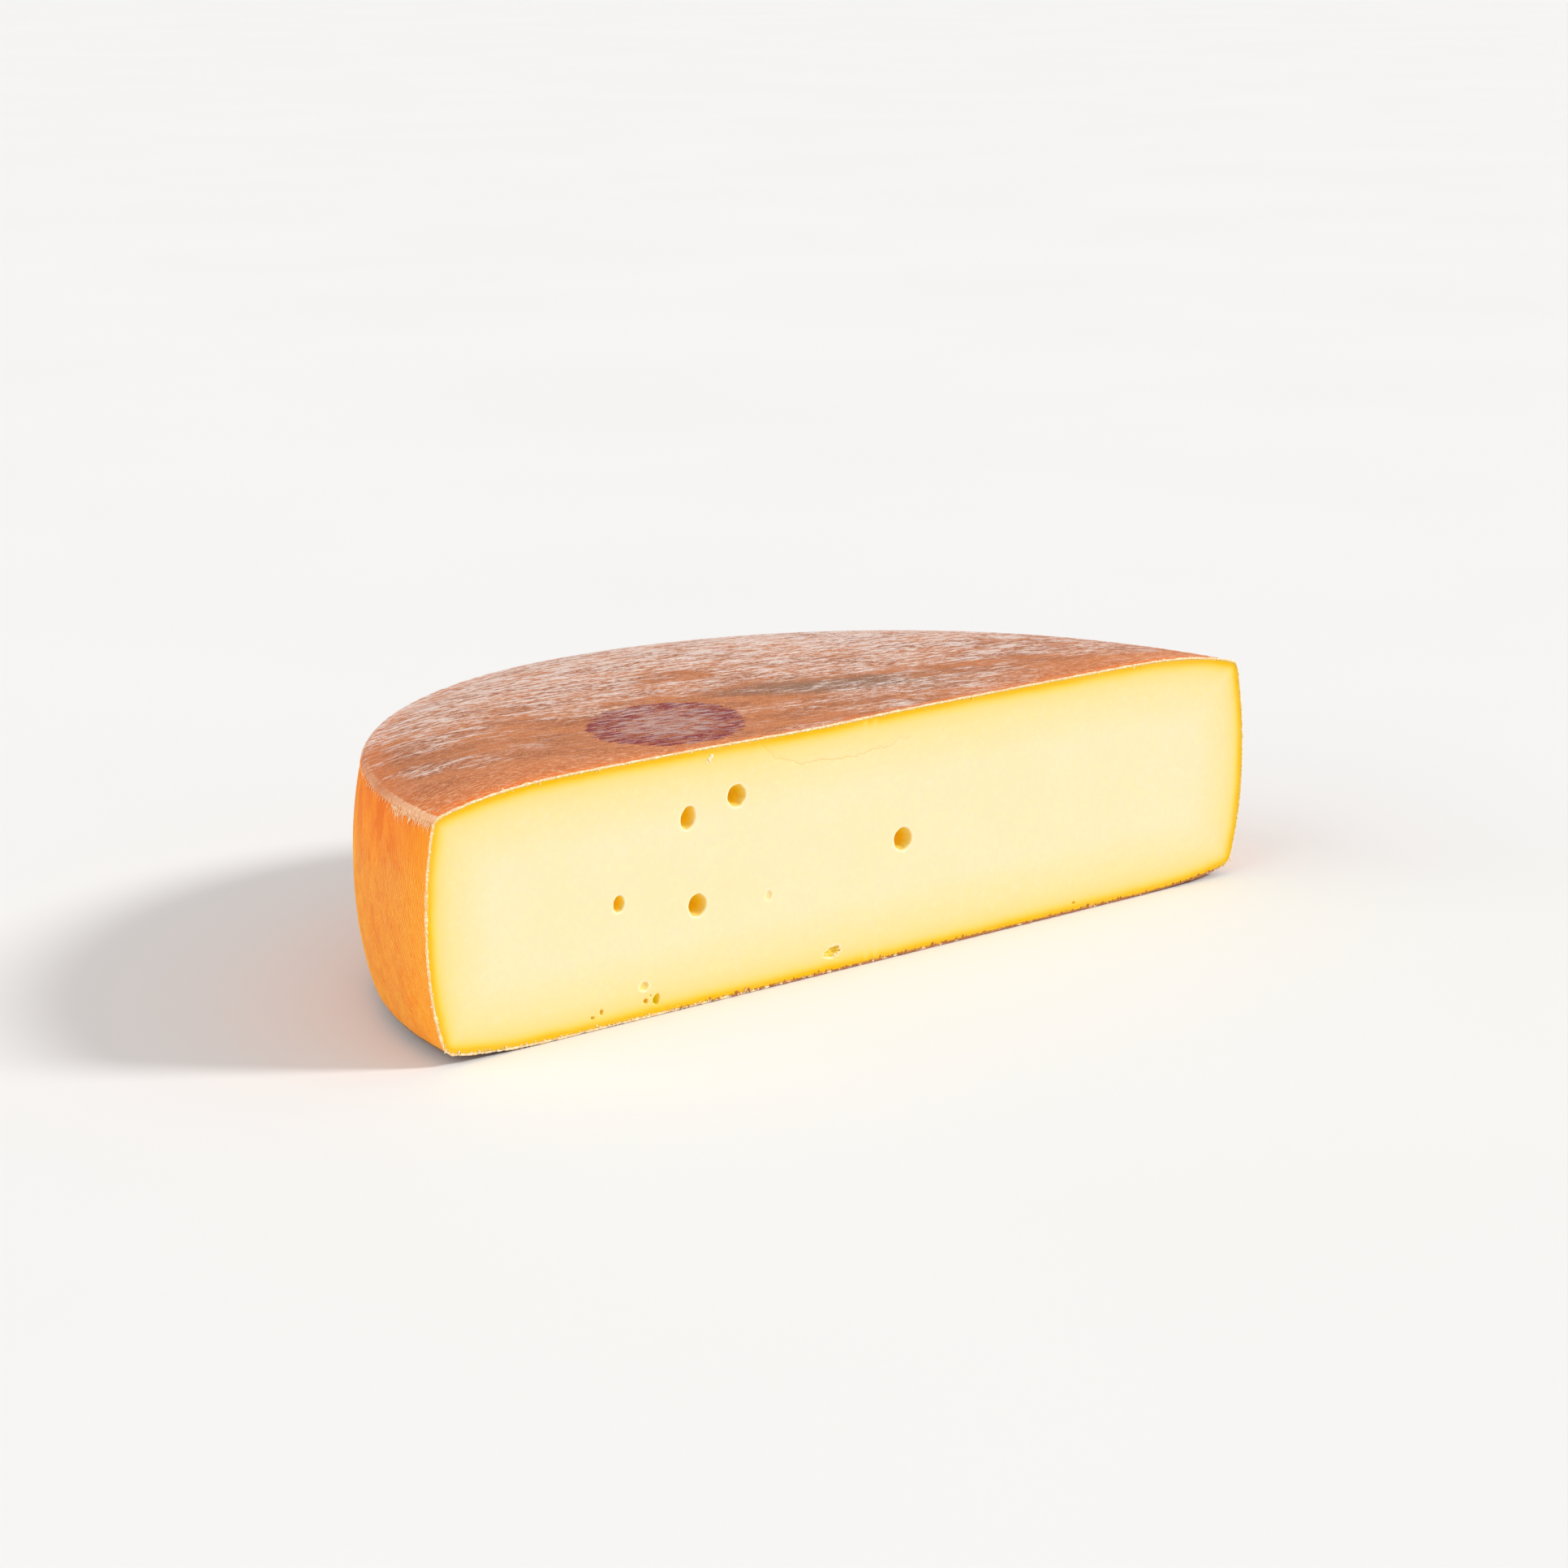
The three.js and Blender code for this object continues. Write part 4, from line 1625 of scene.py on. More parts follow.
@dataclass
class RindShell:
    """A closed thin shell of rind over one stretch of the wheel's outline."""

    form: WheelForm
    finish: SideFinish | TopFinish | BaseFinish
    name: str = "rind"
    thickness: float = 0.85 * MM
    recess: float = 0.38 * MM
    row_spacing: float = 0.8 * MM
    columns: int = 300
    inner_columns: int = 12
    rib_pitch: float = 0.92 * MM
    rib_slant: float = 0.0
    rib_depth: float = 0.0
    streak_depth: float = 0.0
    relief_depth: float = 0.2 * MM
    relief_reach: float = 7.0 * MM
    dent_depth: float = 0.14 * MM
    dent_reach: float = 2.4 * MM
    bead: float = 0.0
    lap_depth: float = 0.5 * MM
    lap_length: float = 1.2 * MM
    lap_sway: float = 0.0
    sharp_angle: float = 58.0
    margin: float = 0.02 * MM

    @property
    def _cut(self) -> float:
        """How far behind the wheel's axis the shell's own cut is."""
        return self.form.cut_behind_middle + self.recess

    def stretch(self, profile: Profile) -> tuple[float, float]:
        """Says where along the outline the shell starts and ends."""
        return 0.0, profile.end

    def grain(self, spots: np.ndarray, rim_way: np.ndarray, round_way: np.ndarray) -> Pair:
        """Gives the ways across and along the cloth's ribs, which here run along the cut."""
        return spots[:, 1], spots[:, 0]

    def build(self) -> bpy.types.Object:
        """Builds the shell.

        Returns:
            The piece.
        """
        piece = new_object(self.name, self._unrolled())
        growth = Growth(f"turned_{self.name}")
        growth.grow(piece, self._turned(growth), self.finish.make(self.form))
        mesh = piece.data
        set_places(mesh, self.form.work_by_hand(get_places(mesh)))
        face_out(mesh)
        smooth_with_edges(mesh, self.sharp_angle)
        keep_in_box(mesh, self.margin)
        return piece

    def _unrolled(self) -> bpy.types.Mesh:
        """Lists the shell's rows and columns, to be turned round the wheel's axis.

        Returns:
            A mesh whose points carry their radius, height, outward direction and share.
        """
        profile = self.form.profile(self._cut)
        start, end = self.stretch(profile)
        count = int(round((end - start) / self.row_spacing)) + 1
        at = np.linspace(start, end, count)
        wide, narrow = self.columns + 1, self.inner_columns + 1
        inner_rows = np.repeat(profile.rows(at, self.thickness), narrow, 0)
        rows = np.vstack([np.repeat(profile.rows(at, 0.0), wide, 0), inner_rows])
        ways = np.concatenate([np.repeat(at, wide), np.repeat(at, narrow)])
        in_shares = np.tile(np.linspace(0.0, 1.0, narrow), count)
        shares = np.concatenate([self._outer_shares(at), in_shares])
        outer = np.concatenate([np.ones(wide * count), np.zeros(narrow * count)])
        mesh = new_mesh(
            f"{self.name}_rows",
            np.column_stack([shares, ways, outer]),
            self._shell_faces(count, wide, narrow, at[0] > 0.0, at[-1] < profile.end),
        )
        directions = profile.directions(ways)
        angle = np.arcsin(np.clip(self._cut / rows[:, 0], 0.0, 1.0))
        round_way = (angle + shares * (math.pi - 2.0 * angle)) * self.form.radius
        rim_way = ways - profile.top_rim
        spots = self.form.turn(rows, shares, self._cut)
        across, along = self.grain(spots, rim_way, round_way)
        end_way = np.full(len(ways), 1.0)
        if start > 0.0:
            end_way = np.minimum(end_way, ways - start)
        if end < profile.end:
            end_way = np.minimum(end_way, end - ways)
        on_cut = (shares == 0.0) | (shares == 1.0)
        layers = {
            Layer.RADIUS: rows[:, 0],
            Layer.HEIGHT: rows[:, 1],
            Layer.OUT_RADIUS: directions[:, 0],
            Layer.OUT_HEIGHT: directions[:, 1],
            Layer.SHARE: shares,
            Layer.OUTER: outer,
            Layer.END_WAY: end_way,
            Layer.ROUND_WAY: round_way,
            Layer.RIM_WAY: rim_way,
            Layer.ACROSS: across,
            Layer.ALONG: along,
            Layer.SECTION: (1.0 - outer) * on_cut,
        }
        set_layers(mesh, layers)
        return mesh

    def _outer_shares(self, at: np.ndarray) -> np.ndarray:
        """Spreads the outer skin's columns so that they follow the ribs.

        Args:
            at: the rows' ways along the outline.

        Returns:
            Every point's share of the arc, row by row, cut off at both ends of the arc.
        """
        arc = math.pi * self.form.radius - 2.0 * self._cut
        lean = self.rib_slant * (at - at.mean()) / arc
        over = np.abs(lean).max()
        even = np.linspace(-over, 1.0 + over, self.columns + 1)
        return np.clip(even[None, :] - lean[:, None], 0.0, 1.0).ravel()

    def _shell_faces(
        self, count: int, wide: int, narrow: int, low_open: bool, high_open: bool
    ) -> Faces:
        """Joins the shell's points: outer skin, inner skin, walls on the cut and at its ends.

        Args:
            count: number of rows.
            wide: points in a row of the outer skin.
            narrow: points in a row of the inner skin.
            low_open: the shell starts away from the wheel's axis, so that end needs a wall.
            high_open: the shell ends away from the wheel's axis.

        Returns:
            The faces.
        """
        faces = grid_faces(count, wide, 0) + grid_faces(count, narrow, wide * count)
        fine = np.arange(count) * wide
        coarse = wide * count + np.arange(count) * narrow
        for a, b in ((fine, coarse), (fine + wide - 1, coarse + narrow - 1)):
            wall = np.column_stack([a[:-1], a[1:], b[1:], b[:-1]])
            faces += [tuple(face) for face in wall.tolist()]
        for row, needed in ((0, low_open), (count - 1, high_open)):
            if needed:
                outer_row = row * wide + np.arange(wide)
                inner_row = wide * count + row * narrow + np.arange(narrow)
                faces += stitched(outer_row, inner_row)
        return faces

    def _turned(self, w: Growth) -> Socket:
        """Turns the rows round the wheel's axis and works the skin's relief.

        Args:
            w: the tree.

        Returns:
            The turned shell.
        """
        cut = w.take("Cut Behind Middle", self._cut)
        radius, height = w.read(Layer.RADIUS), w.read(Layer.HEIGHT)

        def placed(r: Source, z: Source) -> Socket:
            """Puts an outline row at the point's share of the arc.

            Args:
                r: the row's radius.
                z: the row's height.

            Returns:
                The place.
            """
            start = w.maths("ARCSINE", w.maths("DIVIDE", cut, r))
            sweep = w.linear(start, -2.0, math.pi)
            angle = w.linear(w.read(Layer.SHARE), sweep, start)
            x = w.product(r, w.maths("COSINE", angle), -1.0)
            return w.joined(x, w.product(r, w.maths("SINE", angle)), z)

        smooth = placed(radius, height)
        rib = self._rib(w)
        lift = self._lift(w, smooth, rib)
        from_cut = w.maths("SUBTRACT", w.part(smooth, 1), cut)
        lift = w.product(lift, w.ease(from_cut, 0.0, 5.0 * MM, 0.45, 1.0))
        lift = w.maths("SUBTRACT", lift, self._lap(w))
        lift = w.product(lift, w.read(Layer.OUTER))
        out_r = w.linear(w.read(Layer.OUT_RADIUS), lift, radius)
        out_z = w.linear(w.read(Layer.OUT_HEIGHT), lift, height)
        feeds = {"Geometry": w.taken, "Name": Layer.RIB.value, "Value": rib}
        marked = w.out("GeometryNodeStoreNamedAttribute", feeds)
        feeds = {"Geometry": marked, "Position": placed(out_r, out_z)}
        moved = w.out("GeometryNodeSetPosition", feeds)
        feeds = {"Geometry": moved, "Distance": 1e-6}
        return w.out("GeometryNodeMergeByDistance", feeds)

    def _rib(self, w: Growth) -> Socket:
        """Works out the cloth's ribs.

        Args:
            w: the tree.

        Returns:
            0 between the ribs and 1 on them.
        """
        across, along = w.read(Layer.ACROSS), w.read(Layer.ALONG)
        bend = w.cloud(w.joined(across, along), (14, 40, WIDE), detail=2.0)
        return w.ribs(across, self.rib_pitch, w.product(bend, 2.0))

    def _lift(self, w: Growth, smooth: Source, rib: Source) -> Socket:
        """Adds up the relief: ribs, streaks, broad unevenness, dents and the bead at the rim.

        Args:
            w: the tree.
            smooth: the points' places before any relief.
            rib: the cloth's ribs.

        Returns:
            How far each point moves outwards.
        """
        depth, reach = w.take_all(self, "relief_depth", "relief_reach")
        dent, dent_reach = w.take_all(self, "dent_depth", "dent_reach")
        rib_depth, streak_depth, bead = w.take_all(self, "rib_depth", "streak_depth", "bead")
        broad = w.patch(smooth, reach, 0.0)
        sunk = w.product(broad, depth)
        sunk = w.linear(w.patch(smooth, dent_reach, 4.0), dent, sunk)
        worn = w.ease(broad, 0.3, 0.6, 0.45, 1.0)
        sunk = w.maths("ADD", sunk, w.product(w.maths("SUBTRACT", 1.0, rib), rib_depth, worn))
        grain = w.joined(w.read(Layer.ACROSS), w.read(Layer.ALONG))
        streak = w.cloud(grain, STREAKS, detail=4.0, rough=0.6)
        sunk = w.maths("ADD", sunk, w.product(w.ease(streak, 0.44, 0.6, 1.0, 0.0), streak_depth))
        rim = w.maths("DIVIDE", w.read(Layer.RIM_WAY), 1.6 * MM)
        rim = w.maths("EXPONENT", w.product(rim, rim, -1.0))
        return w.maths("SUBTRACT", w.product(rim, bead), sunk)

    def _lap(self, w: Growth) -> Socket:
        """Sinks the shell's ends under its neighbours, along a ragged line.

        Args:
            w: the tree.

        Returns:
            How far each point sinks.
        """
        lap, length, sway = w.take_all(self, "lap_depth", "lap_length", "lap_sway")
        spread = w.joined(w.read(Layer.ROUND_WAY), 0.0)
        ragged = w.cloud(spread, (2.6, WIDE, WIDE), rough=0.65)
        way = w.maths("SUBTRACT", w.read(Layer.END_WAY), w.product(ragged, sway))
        return w.product(w.ease(way, 0.0, length, 1.0, 0.0), lap)


@dataclass
class SideRind(RindShell):
    """The bulging side, ribbed by the cloth that it was pressed in."""

    name: str = "side_rind"
    row_spacing: float = 1.7 * MM
    columns: int = 2300
    inner_columns: int = 40
    rib_depth: float = 0.19 * MM
    rib_slant: float = -0.34
    lap_depth: float = 0.34 * MM
    lap_length: float = 1.5 * MM
    below_rim: float = 0.4 * MM
    below_base_rim: float = 1.6 * MM

    def stretch(self, profile: Profile) -> tuple[float, float]:
        """Runs from just under the base's rim to just under the top's."""
        return profile.base_rim - self.below_base_rim, profile.top_rim - self.below_rim

    def grain(self, spots: np.ndarray, rim_way: np.ndarray, round_way: np.ndarray) -> Pair:
        """Runs the ribs up the side, leaning a little."""
        return round_way + self.rib_slant * rim_way, rim_way


@dataclass
class TopRind(RindShell):
    """The top, which laps over the side in a ragged brushed lip."""

    name: str = "top_rind"
    row_spacing: float = 0.62 * MM
    columns: int = 380
    inner_columns: int = 16
    streak_depth: float = 0.12 * MM
    bead: float = 0.26 * MM
    lap_length: float = 0.7 * MM
    lap_sway: float = 1.5 * MM
    below_rim: float = 2.4 * MM
    slope: float = -0.176
    left_slope: float = -0.02
    turn_x: float = -84.0 * MM
    turn_reach: float = 56.0 * MM

    def stretch(self, profile: Profile) -> tuple[float, float]:
        """Runs from under the rim to the middle of the top."""
        return profile.top_rim - self.below_rim, profile.end

    def grain(self, spots: np.ndarray, rim_way: np.ndarray, round_way: np.ndarray) -> Pair:
        """Runs the ribs along the cut, turning a little towards the left end.

        Args:
            spots: rows of x, y, z round the wheel's own axis.
            rim_way: way from the top's rim, inwards; not used.
            round_way: way round the side from the cut's left end; not used.

        Returns:
            The way across the ribs and the way along them.
        """
        x, y = spots[:, 0], spots[:, 1]
        past = np.clip(self.turn_x - x, 0.0, None)
        drift = self.slope * x - (self.left_slope - self.slope) * past**2 / (2 * self.turn_reach)
        return y - drift, x


@dataclass
class BaseRind(RindShell):
    """The underside."""

    name: str = "base_rind"
    row_spacing: float = 1.3 * MM
    relief_depth: float = 0.08 * MM
    dent_depth: float = 0.06 * MM
    above_rim: float = 0.8 * MM

    def stretch(self, profile: Profile) -> tuple[float, float]:
        """Runs from the middle of the base to just over its rim."""
        return 0.0, profile.base_rim + self.above_rim


@dataclass
class CutLip:
    """The thin ragged lip of rind that the knife left all round the cut."""

    form: WheelForm
    finish: CrumbFinish
    inset: float = 0.22 * MM
    set_in: float = 0.5 * MM
    step: float = 0.4 * MM
    thinnest: float = 0.2 * MM
    thickest: float = 0.46 * MM
    sway: float = 0.3 * MM
    sides: int = 6
    seed: int = 7

    def build(self) -> bpy.types.Object:
        """Builds the lip.

        Returns:
            The piece.
        """
        end = self.form.profile(self.form.cut_behind_middle + self.set_in).end
        at = np.linspace(0.0, end, int(end / self.step) + 1)
        chain = self.form.cut_chain(at, self.inset, self.set_in)
        chain = np.delete(chain, [len(at), len(chain) - 1], axis=0)
        count = len(chain)
        edges = [(i, (i + 1) % count) for i in range(count)]
        piece = new_object("cut_lip", new_mesh("lip_path", chain, edges=edges))
        growth = Growth("ragged_lip")
        growth.grow(piece, self._swept(growth), self.finish.make("torn_lip"))
        keep_in_box(piece.data, MARGIN)
        face_out(piece.data)
        return piece

    def _swept(self, w: Growth) -> Socket:
        """Sweeps an uneven section along the cut's outline.

        Args:
            w: the tree.

        Returns:
            The swept geometry.
        """
        step, thin, thick = w.take_all(self, "step", "thinnest", "thickest")
        sway, sides, seed = w.take_all(self, "sway", "sides", "seed")
        curve = w.out("GeometryNodeMeshToCurve", {"Mesh": w.taken})
        feeds = {"Curve": curve, "Length": step}
        curve = w.out("GeometryNodeResampleCurve", feeds, mode="LENGTH")
        curve = w.moved(curve, w.jitter(1.4 * MM, sway, seed))
        span = w.maths("SUBTRACT", thick, thin)
        fat = w.ease(w.patch(w.place(), 2.1 * MM, seed), 0.35, 0.7)
        size = w.linear(fat, span, thin)
        feeds = {"Resolution": sides, "Radius": 1.0}
        section = w.out("GeometryNodeCurvePrimitiveCircle", feeds)
        feeds = {"Curve": curve, "Profile Curve": section, "Scale": size}
        swept = w.out("GeometryNodeCurveToMesh", feeds)
        return w.moved(swept, w.jitter(0.5 * MM, thick, seed))


@dataclass
class RimFringe:
    """Short brushed strands of rind that hang from the rim down the side."""

    form: WheelForm
    finish: CrumbFinish
    below_rim: float = 1.3 * MM
    spacing: float = 0.42 * MM
    dense_reach: float = 27.0 * MM
    sparse_every: int = 6
    sparse_size: float = 0.6
    shortest: float = 0.5 * MM
    longest: float = 2.3 * MM
    width: float = 0.12 * MM
    seed: int = 21

    def build(self) -> bpy.types.Object:
        """Builds the fringe.

        Returns:
            The piece.
        """
        cut = self.form.cut_behind_middle
        profile = self.form.profile(cut)
        at = profile.top_rim - self.below_rim
        rows = profile.rows(np.array([at, at - 1.0 * MM]), 0.0)
        arc = math.pi * self.form.radius
        count = int(arc / self.spacing)
        shares = np.linspace(0.004, 0.996, count)
        from_end = np.minimum(shares, 1.0 - shares) * arc
        dense = from_end < self.dense_reach
        kept = dense | (np.arange(count) % self.sparse_every == 0)
        shares = shares[kept]
        high, low = (
            self.form.work_by_hand(self.form.turn(np.repeat(row[None], len(shares), 0), shares, cut))
            for row in rows
        )
        middle = np.array([0.0, self.form.middle_y, 0.0])
        mesh = new_mesh("fringe_roots", high)
        layers = {
            Layer.DOWN: unit(low - high),
            Layer.OUT: unit((high - middle) * np.array([1.0, 1.0, 0.0])),
            Layer.SIZE: np.where(dense[kept], 1.0, self.sparse_size),
        }
        set_layers(mesh, layers)
        piece = new_object("rim_fringe", mesh)
        growth = Growth("brushed_fringe")
        growth.grow(piece, self._strands(growth), self.finish.make("fringe"))
        keep_in_box(piece.data, MARGIN)
        piece.data.shade_smooth()
        return piece

    def _strands(self, w: Growth) -> Socket:
        """Sets a thin tapered strand on each root.

        Args:
            w: the tree.

        Returns:
            The strands as instances.
        """
        short, long, width, seed = w.take_all(self, "shortest", "longest", "width", "seed")
        points = w.out("GeometryNodeMeshToPoints", {"Mesh": w.taken})
        down = w.read(Layer.DOWN, "FLOAT_VECTOR")
        out = w.read(Layer.OUT, "FLOAT_VECTOR")
        length = w.maths("POWER", w.chance(0.0, 1.0, seed, 1), 2.0)
        length = w.linear(length, w.maths("SUBTRACT", long, short), short)
        length = w.product(length, w.read(Layer.SIZE))
        thick = w.product(width, w.chance(0.6, 1.5, seed, 2))
        points = w.moved(points, w.vector("SCALE", down, w.product(length, 0.7)))
        lean = w.chance((-0.16, -0.16, 0.0), (0.16, 0.16, 0.0), seed, 3)
        aim = w.vector("ADD", down, lean)
        kind = "FunctionNodeAlignRotationToVector"
        turned = w.out(kind, {"Vector": aim}, axis="Z")
        feeds = {"Rotation": turned, "Vector": out}
        turned = w.out(kind, feeds, axis="X", pivot_axis="Z")
        feeds = {"Segments": 6, "Rings": 5, "Radius": 1.0}
        strand = w.out("GeometryNodeMeshUVSphere", feeds)
        scale = w.joined(w.product(thick, 0.7), thick, length)
        feeds = {"Points": points, "Instance": strand, "Rotation": turned, "Scale": scale}
        return w.out("GeometryNodeInstanceOnPoints", feeds)


def lumps(w: Growth, points: Socket, size: Source, seed: Source) -> Socket:
    """Sets an uneven lump on each point.

    Args:
        w: the tree.
        points: where the lumps go.
        size: half the size of each.
        seed: the tree's seed.

    Returns:
        The lumps as real geometry.
    """
    shape = w.chance((0.7, 0.45, 0.6), (1.6, 1.0, 1.1), seed, 4)
    turn = w.chance((0.0, 0.0, 0.0), (6.28, 6.28, 6.28), seed, 5)
    turned = w.out("FunctionNodeEulerToRotation", {0: turn})
    feeds = {"Segments": 7, "Rings": 5, "Radius": 1.0}
    lump = w.out("GeometryNodeMeshUVSphere", feeds)
    scale = w.vector("SCALE", shape, size)
    feeds = {"Points": points, "Instance": lump, "Rotation": turned, "Scale": scale}
    spots = w.out("GeometryNodeInstanceOnPoints", feeds)
    real = w.out("GeometryNodeRealizeInstances", {0: spots})
    return w.moved(real, w.jitter(0.45 * MM, 0.3 * MM, seed))


@dataclass
class Crumbs:
    """Crumbs and flakes that cling along a stretch of the cut's edge."""

    form: WheelForm
    finish: CrumbFinish
    name: str
    on_base: bool
    count: int = 900
    smallest: float = 0.09 * MM
    largest: float = 0.34 * MM
    spread: float = 0.9 * MM
    lowest: float = -1.0
    inset: float = 0.3 * MM
    set_in: float = 0.42 * MM
    step: float = 1.0 * MM
    seed: int = 11

    def build(self) -> bpy.types.Object:
        """Builds the crumbs.

        Returns:
            The piece.
        """
        profile = self.form.profile(self.form.cut_behind_middle + self.set_in)
        start, end = (0.0, profile.base_rim) if self.on_base else (profile.base_rim, profile.end)
        at = np.linspace(start, end, int((end - start) / self.step) + 1)
        chain = self.form.cut_chain(at, self.inset, self.set_in)
        gap = -1 if not self.on_base else len(at) - 1
        edges = [(i, i + 1) for i in range(len(chain) - 1) if i != gap]
        piece = new_object(self.name, new_mesh(f"{self.name}_path", chain, edges=edges))
        growth = Growth(f"clinging_{self.name}")
        growth.grow(piece, self._scattered(growth), self.finish.make(self.name))
        keep_in_box(piece.data, MARGIN)
        return piece

    def _scattered(self, w: Growth) -> Socket:
        """Scatters lumps of uneven size along the cut's outline.

        Args:
            w: the tree.

        Returns:
            The crumbs.
        """
        count, small, large = w.take_all(self, "count", "smallest", "largest")
        spread, seed = w.take_all(self, "spread", "seed")
        curve = w.out("GeometryNodeMeshToCurve", {"Mesh": w.taken})
        feeds = {"Curve": curve, "Count": count}
        points = w.out("GeometryNodeCurveToPoints", feeds, mode="COUNT")
        away = w.chance((-1.0, -0.22, self.lowest), (1.0, 0.1, 1.0), seed, 1)
        near = w.maths("POWER", w.chance(0.0, 1.0, seed, 2), 2.5)
        points = w.moved(points, w.vector("SCALE", away, w.product(near, spread)))
        size = w.maths("POWER", w.chance(0.0, 1.0, seed, 3), 3.0)
        size = w.linear(size, w.maths("SUBTRACT", large, small), small)
        return lumps(w, points, size, seed)


@dataclass
class FaceCrumbs:
    """The few crumbs that stick to the cut face. Places and sizes are in millimetres."""

    form: WheelForm
    finish: CrumbFinish
    set_in: float = 0.36 * MM
    flatness: float = 0.35
    seed: int = 31
    spots: tuple[Triple, ...] = (
        (32.3, 11.4, 0.34), (33.0, 11.1, 0.22), (-56.3, 69.6, 0.9), (-57.1, 68.7, 0.8),
        (-57.9, 68.0, 0.4), (-96.2, 5.2, 0.22), (-79.0, 3.9, 0.3), (-77.4, 3.4, 0.22),
        (-16.4, 5.6, 0.4), (-13.2, 4.9, 0.46), (-11.6, 7.0, 0.36), (-111.0, 4.0, 0.18),
        (-139.5, 7.4, 0.22), (25.5, 65.2, 0.2), (60.2, 5.1, 0.24), (104.0, 6.2, 0.2),
    )

    def build(self) -> bpy.types.Object:
        """Builds the crumbs.

        Returns:
            The piece.
        """
        table = np.array(self.spots)
        y = np.full(len(table), self.form.cut_y + self.set_in)
        places = np.column_stack([table[:, 0] * MM, y, table[:, 1] * MM])
        mesh = new_mesh("face_crumb_places", places)
        set_layers(mesh, {Layer.SIZE: table[:, 2] * MM})
        piece = new_object("face_crumbs", mesh)
        growth = Growth("stuck_crumbs")
        seed = growth.take("Seed", self.seed)
        points = growth.out("GeometryNodeMeshToPoints", {"Mesh": growth.taken})
        grown = lumps(growth, points, growth.read(Layer.SIZE), seed)
        growth.grow(piece, grown, self.finish.make("face_crumb"))
        places = get_places(piece.data)
        places[:, 1] = y[0] + (places[:, 1] - y[0]) * self.flatness
        set_places(piece.data, places)
        keep_in_box(piece.data, MARGIN)
        return piece


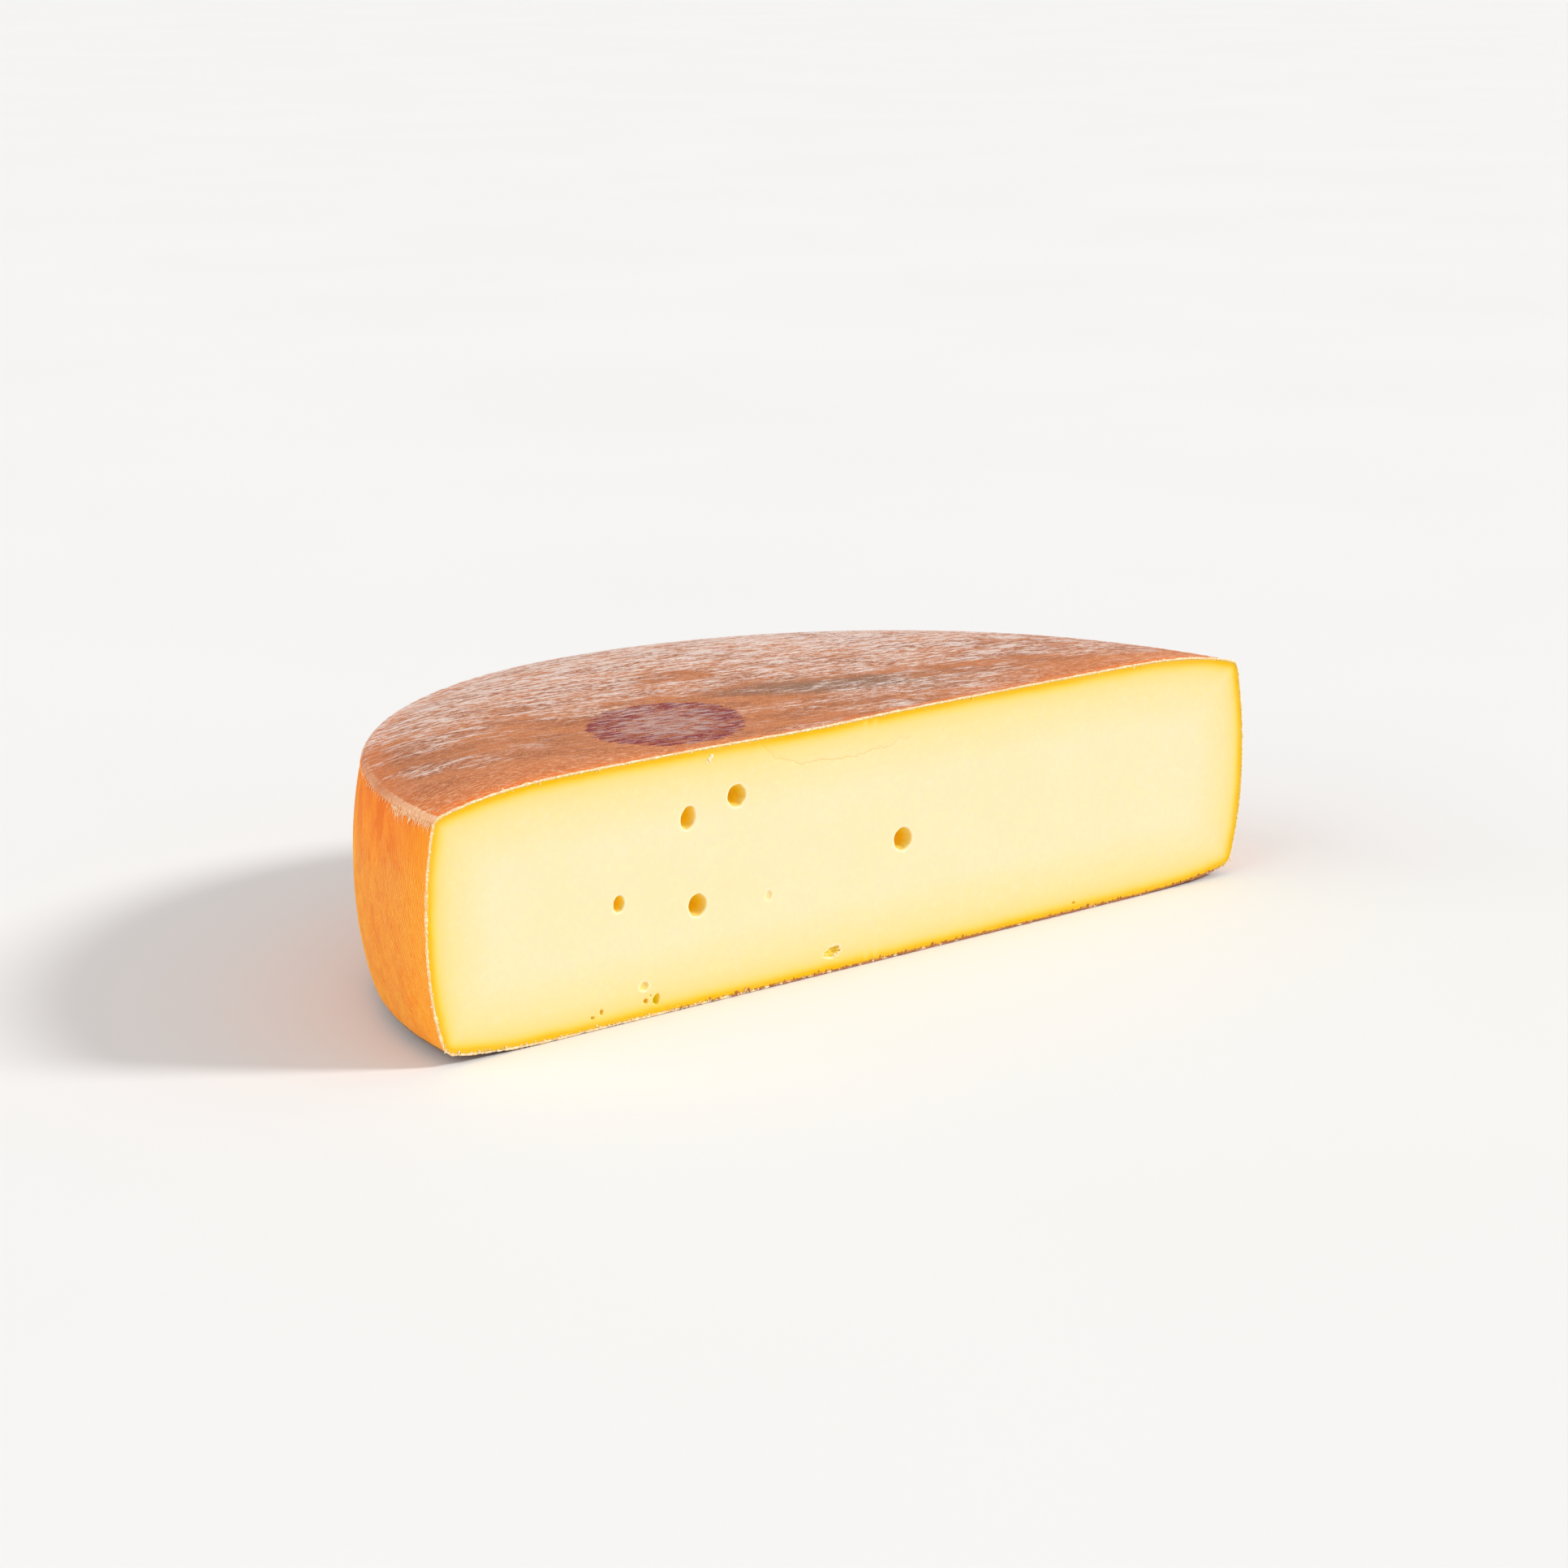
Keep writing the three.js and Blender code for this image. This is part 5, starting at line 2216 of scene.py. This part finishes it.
@dataclass
class Studio:
    """The pale floor, the soft light and the camera."""

    form: WheelForm
    image_width: int = 1932
    focal_pixels: float = 4410.75
    sensor: float = 36.0
    camera_distance: float = 971.6 * MM
    camera_height: float = 301.6 * MM
    cut_turn: float = 40.393
    pan: float = -1.712
    pitch: float = -14.295
    roll: float = -0.4
    floor_drop: float = 0.1 * MM
    floor_half: float = 14.0

    def _from_view(self, across: float, away: float, up: float) -> Vector:
        """Turns a direction seen from the camera's side into the solid's axes.

        Args:
            across: to the right.
            away: away from the camera, level.
            up: upwards.

        Returns:
            The same direction in the solid's axes.
        """
        turn = math.radians(self.cut_turn)
        x = across * math.cos(turn) + away * math.sin(turn)
        y = -across * math.sin(turn) + away * math.cos(turn)
        return Vector((x, y, up))

    def camera(self) -> None:
        """Puts the camera where the outlines of the photograph fit."""
        pan, pitch, roll = map(math.radians, (self.pan, self.pitch, self.roll))
        level = math.cos(pitch)
        ahead = self._from_view(math.sin(pan) * level, math.cos(pan) * level, math.sin(pitch))
        right = self._from_view(math.cos(pan), -math.sin(pan), 0.0)
        up = right.cross(ahead)
        turned_right = right * math.cos(roll) + up * math.sin(roll)
        turned_up = up * math.cos(roll) - right * math.sin(roll)
        data = bpy.data.cameras.new("camera")
        data.sensor_width = self.sensor
        data.lens = self.sensor * self.focal_pixels / self.image_width
        data.clip_start = 0.05
        data.clip_end = 60.0
        camera = new_object("camera", data)
        place = self._from_view(0.0, -self.camera_distance, self.camera_height)
        place.y += self.form.middle_y
        axes = Matrix((turned_right, turned_up, -ahead)).transposed().to_4x4()
        camera.matrix_world = Matrix.Translation(place) @ axes
        bpy.context.scene.camera = camera

    def floor(self) -> None:
        """Lays a wide pale floor under the half wheel."""
        half = self.floor_half
        corners = [(-half, -half), (half, -half), (half, half), (-half, half)]
        places = np.array([(x, y, -self.floor_drop) for x, y in corners])
        floor = new_object("floor", new_mesh("floor", places, [(0, 1, 2, 3)]))
        w = Finish("pale_floor")
        broad = w.cloud(w.place, (250, 250, 250), detail=2.0)
        w.colour = w.blend(broad, srgb(234, 232, 229), srgb(238, 236, 233))
        w.set(Roughness=0.8)
        floor.data.materials.append(w.done())

    def _sun(self, name: str, seen: Triple, spread: float, power: float) -> None:
        """Hangs a soft far lamp that shines on the half wheel.

        Args:
            name: the lamp's name.
            seen: where it stands, to the right, away and up as seen from the camera's side.
            spread: how wide it looks from the half wheel, in degrees.
            power: its strength in watts a square metre.
        """
        data = bpy.data.lights.new(name, "SUN")
        data.angle = math.radians(spread)
        data.energy = power
        lamp = new_object(name, data)
        place = self._from_view(*seen)
        lamp.location = place
        lamp.rotation_euler = (-place).to_track_quat("-Z", "Y").to_euler()

    def light(self) -> None:
        """Lights the half wheel as the photograph is lit: a key from the right, soft fill."""
        self._sun("key", (1.0, 0.0, 0.65), 12.0, 2.2)
        self._sun("fill", (-0.8, -0.5, 0.35), 70.0, 1.35)
        world = bpy.data.worlds.new("studio")
        world.use_nodes = True
        back = world.node_tree.nodes["Background"]
        back.inputs["Color"].default_value = (0.96, 0.98, 1.0, 1.0)
        back.inputs["Strength"].default_value = 0.6
        bpy.context.scene.world = world
        bpy.context.scene.view_settings.view_transform = "Standard"

    def build(self) -> None:
        """Builds the camera, the floor and the lamps."""
        self.camera()
        self.floor()
        self.light()


def dress(piece: bpy.types.Object) -> None:
    """Fixes a finished piece to the solid's body.

    Args:
        piece: the piece.
    """
    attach(piece, BODY)
    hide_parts(SOLID)
    mesh = piece.data
    log.info("%s: %d points, %d faces", piece.name, len(mesh.vertices), len(mesh.polygons))


def main() -> None:
    """Builds the pieces in order, then notes the sizes."""
    logging.basicConfig(level=logging.INFO, format="%(name)s %(message)s")
    form = WheelForm()
    Studio(form).build()
    crumb = CrumbFinish(brown_share=-0.02, low_brown=0.34)
    edge_crumb = CrumbFinish(brown_share=-0.12, low_brown=0.0)
    pale_crumb = CrumbFinish(brown_share=-0.3, low_brown=0.55)
    strand = CrumbFinish(brown_share=-0.3, low_brown=0.0, glow=0.0)
    flake = CrumbFinish(brown_share=-0.3, low_brown=0.0, glow=0.0, peach=srgb(252, 226, 184))
    edge_crumbs = Crumbs(form, edge_crumb, "edge_crumbs", on_base=False, count=1500)
    base_crumbs = Crumbs(
        form,
        crumb,
        "base_crumbs",
        on_base=True,
        count=900,
        largest=0.44 * MM,
        spread=1.0 * MM,
        lowest=-0.1,
    )
    makers = [
        (Paste(form, PasteFinish()), Slot.PASTE),
        (SideRind(form, SideFinish()), Slot.RIND),
        (TopRind(form, TopFinish()), Slot.RIND),
        (BaseRind(form, BaseFinish()), Slot.RIND),
        (CutLip(form, pale_crumb), Slot.RIND),
        (RimFringe(form, strand), Slot.RIND),
        (edge_crumbs, Slot.RIND),
        (base_crumbs, Slot.RIND),
        (FaceCrumbs(form, flake), Slot.PASTE),
    ]
    for maker, slot in makers:
        dress(maker.build())


if __name__ == "__main__":
    main()
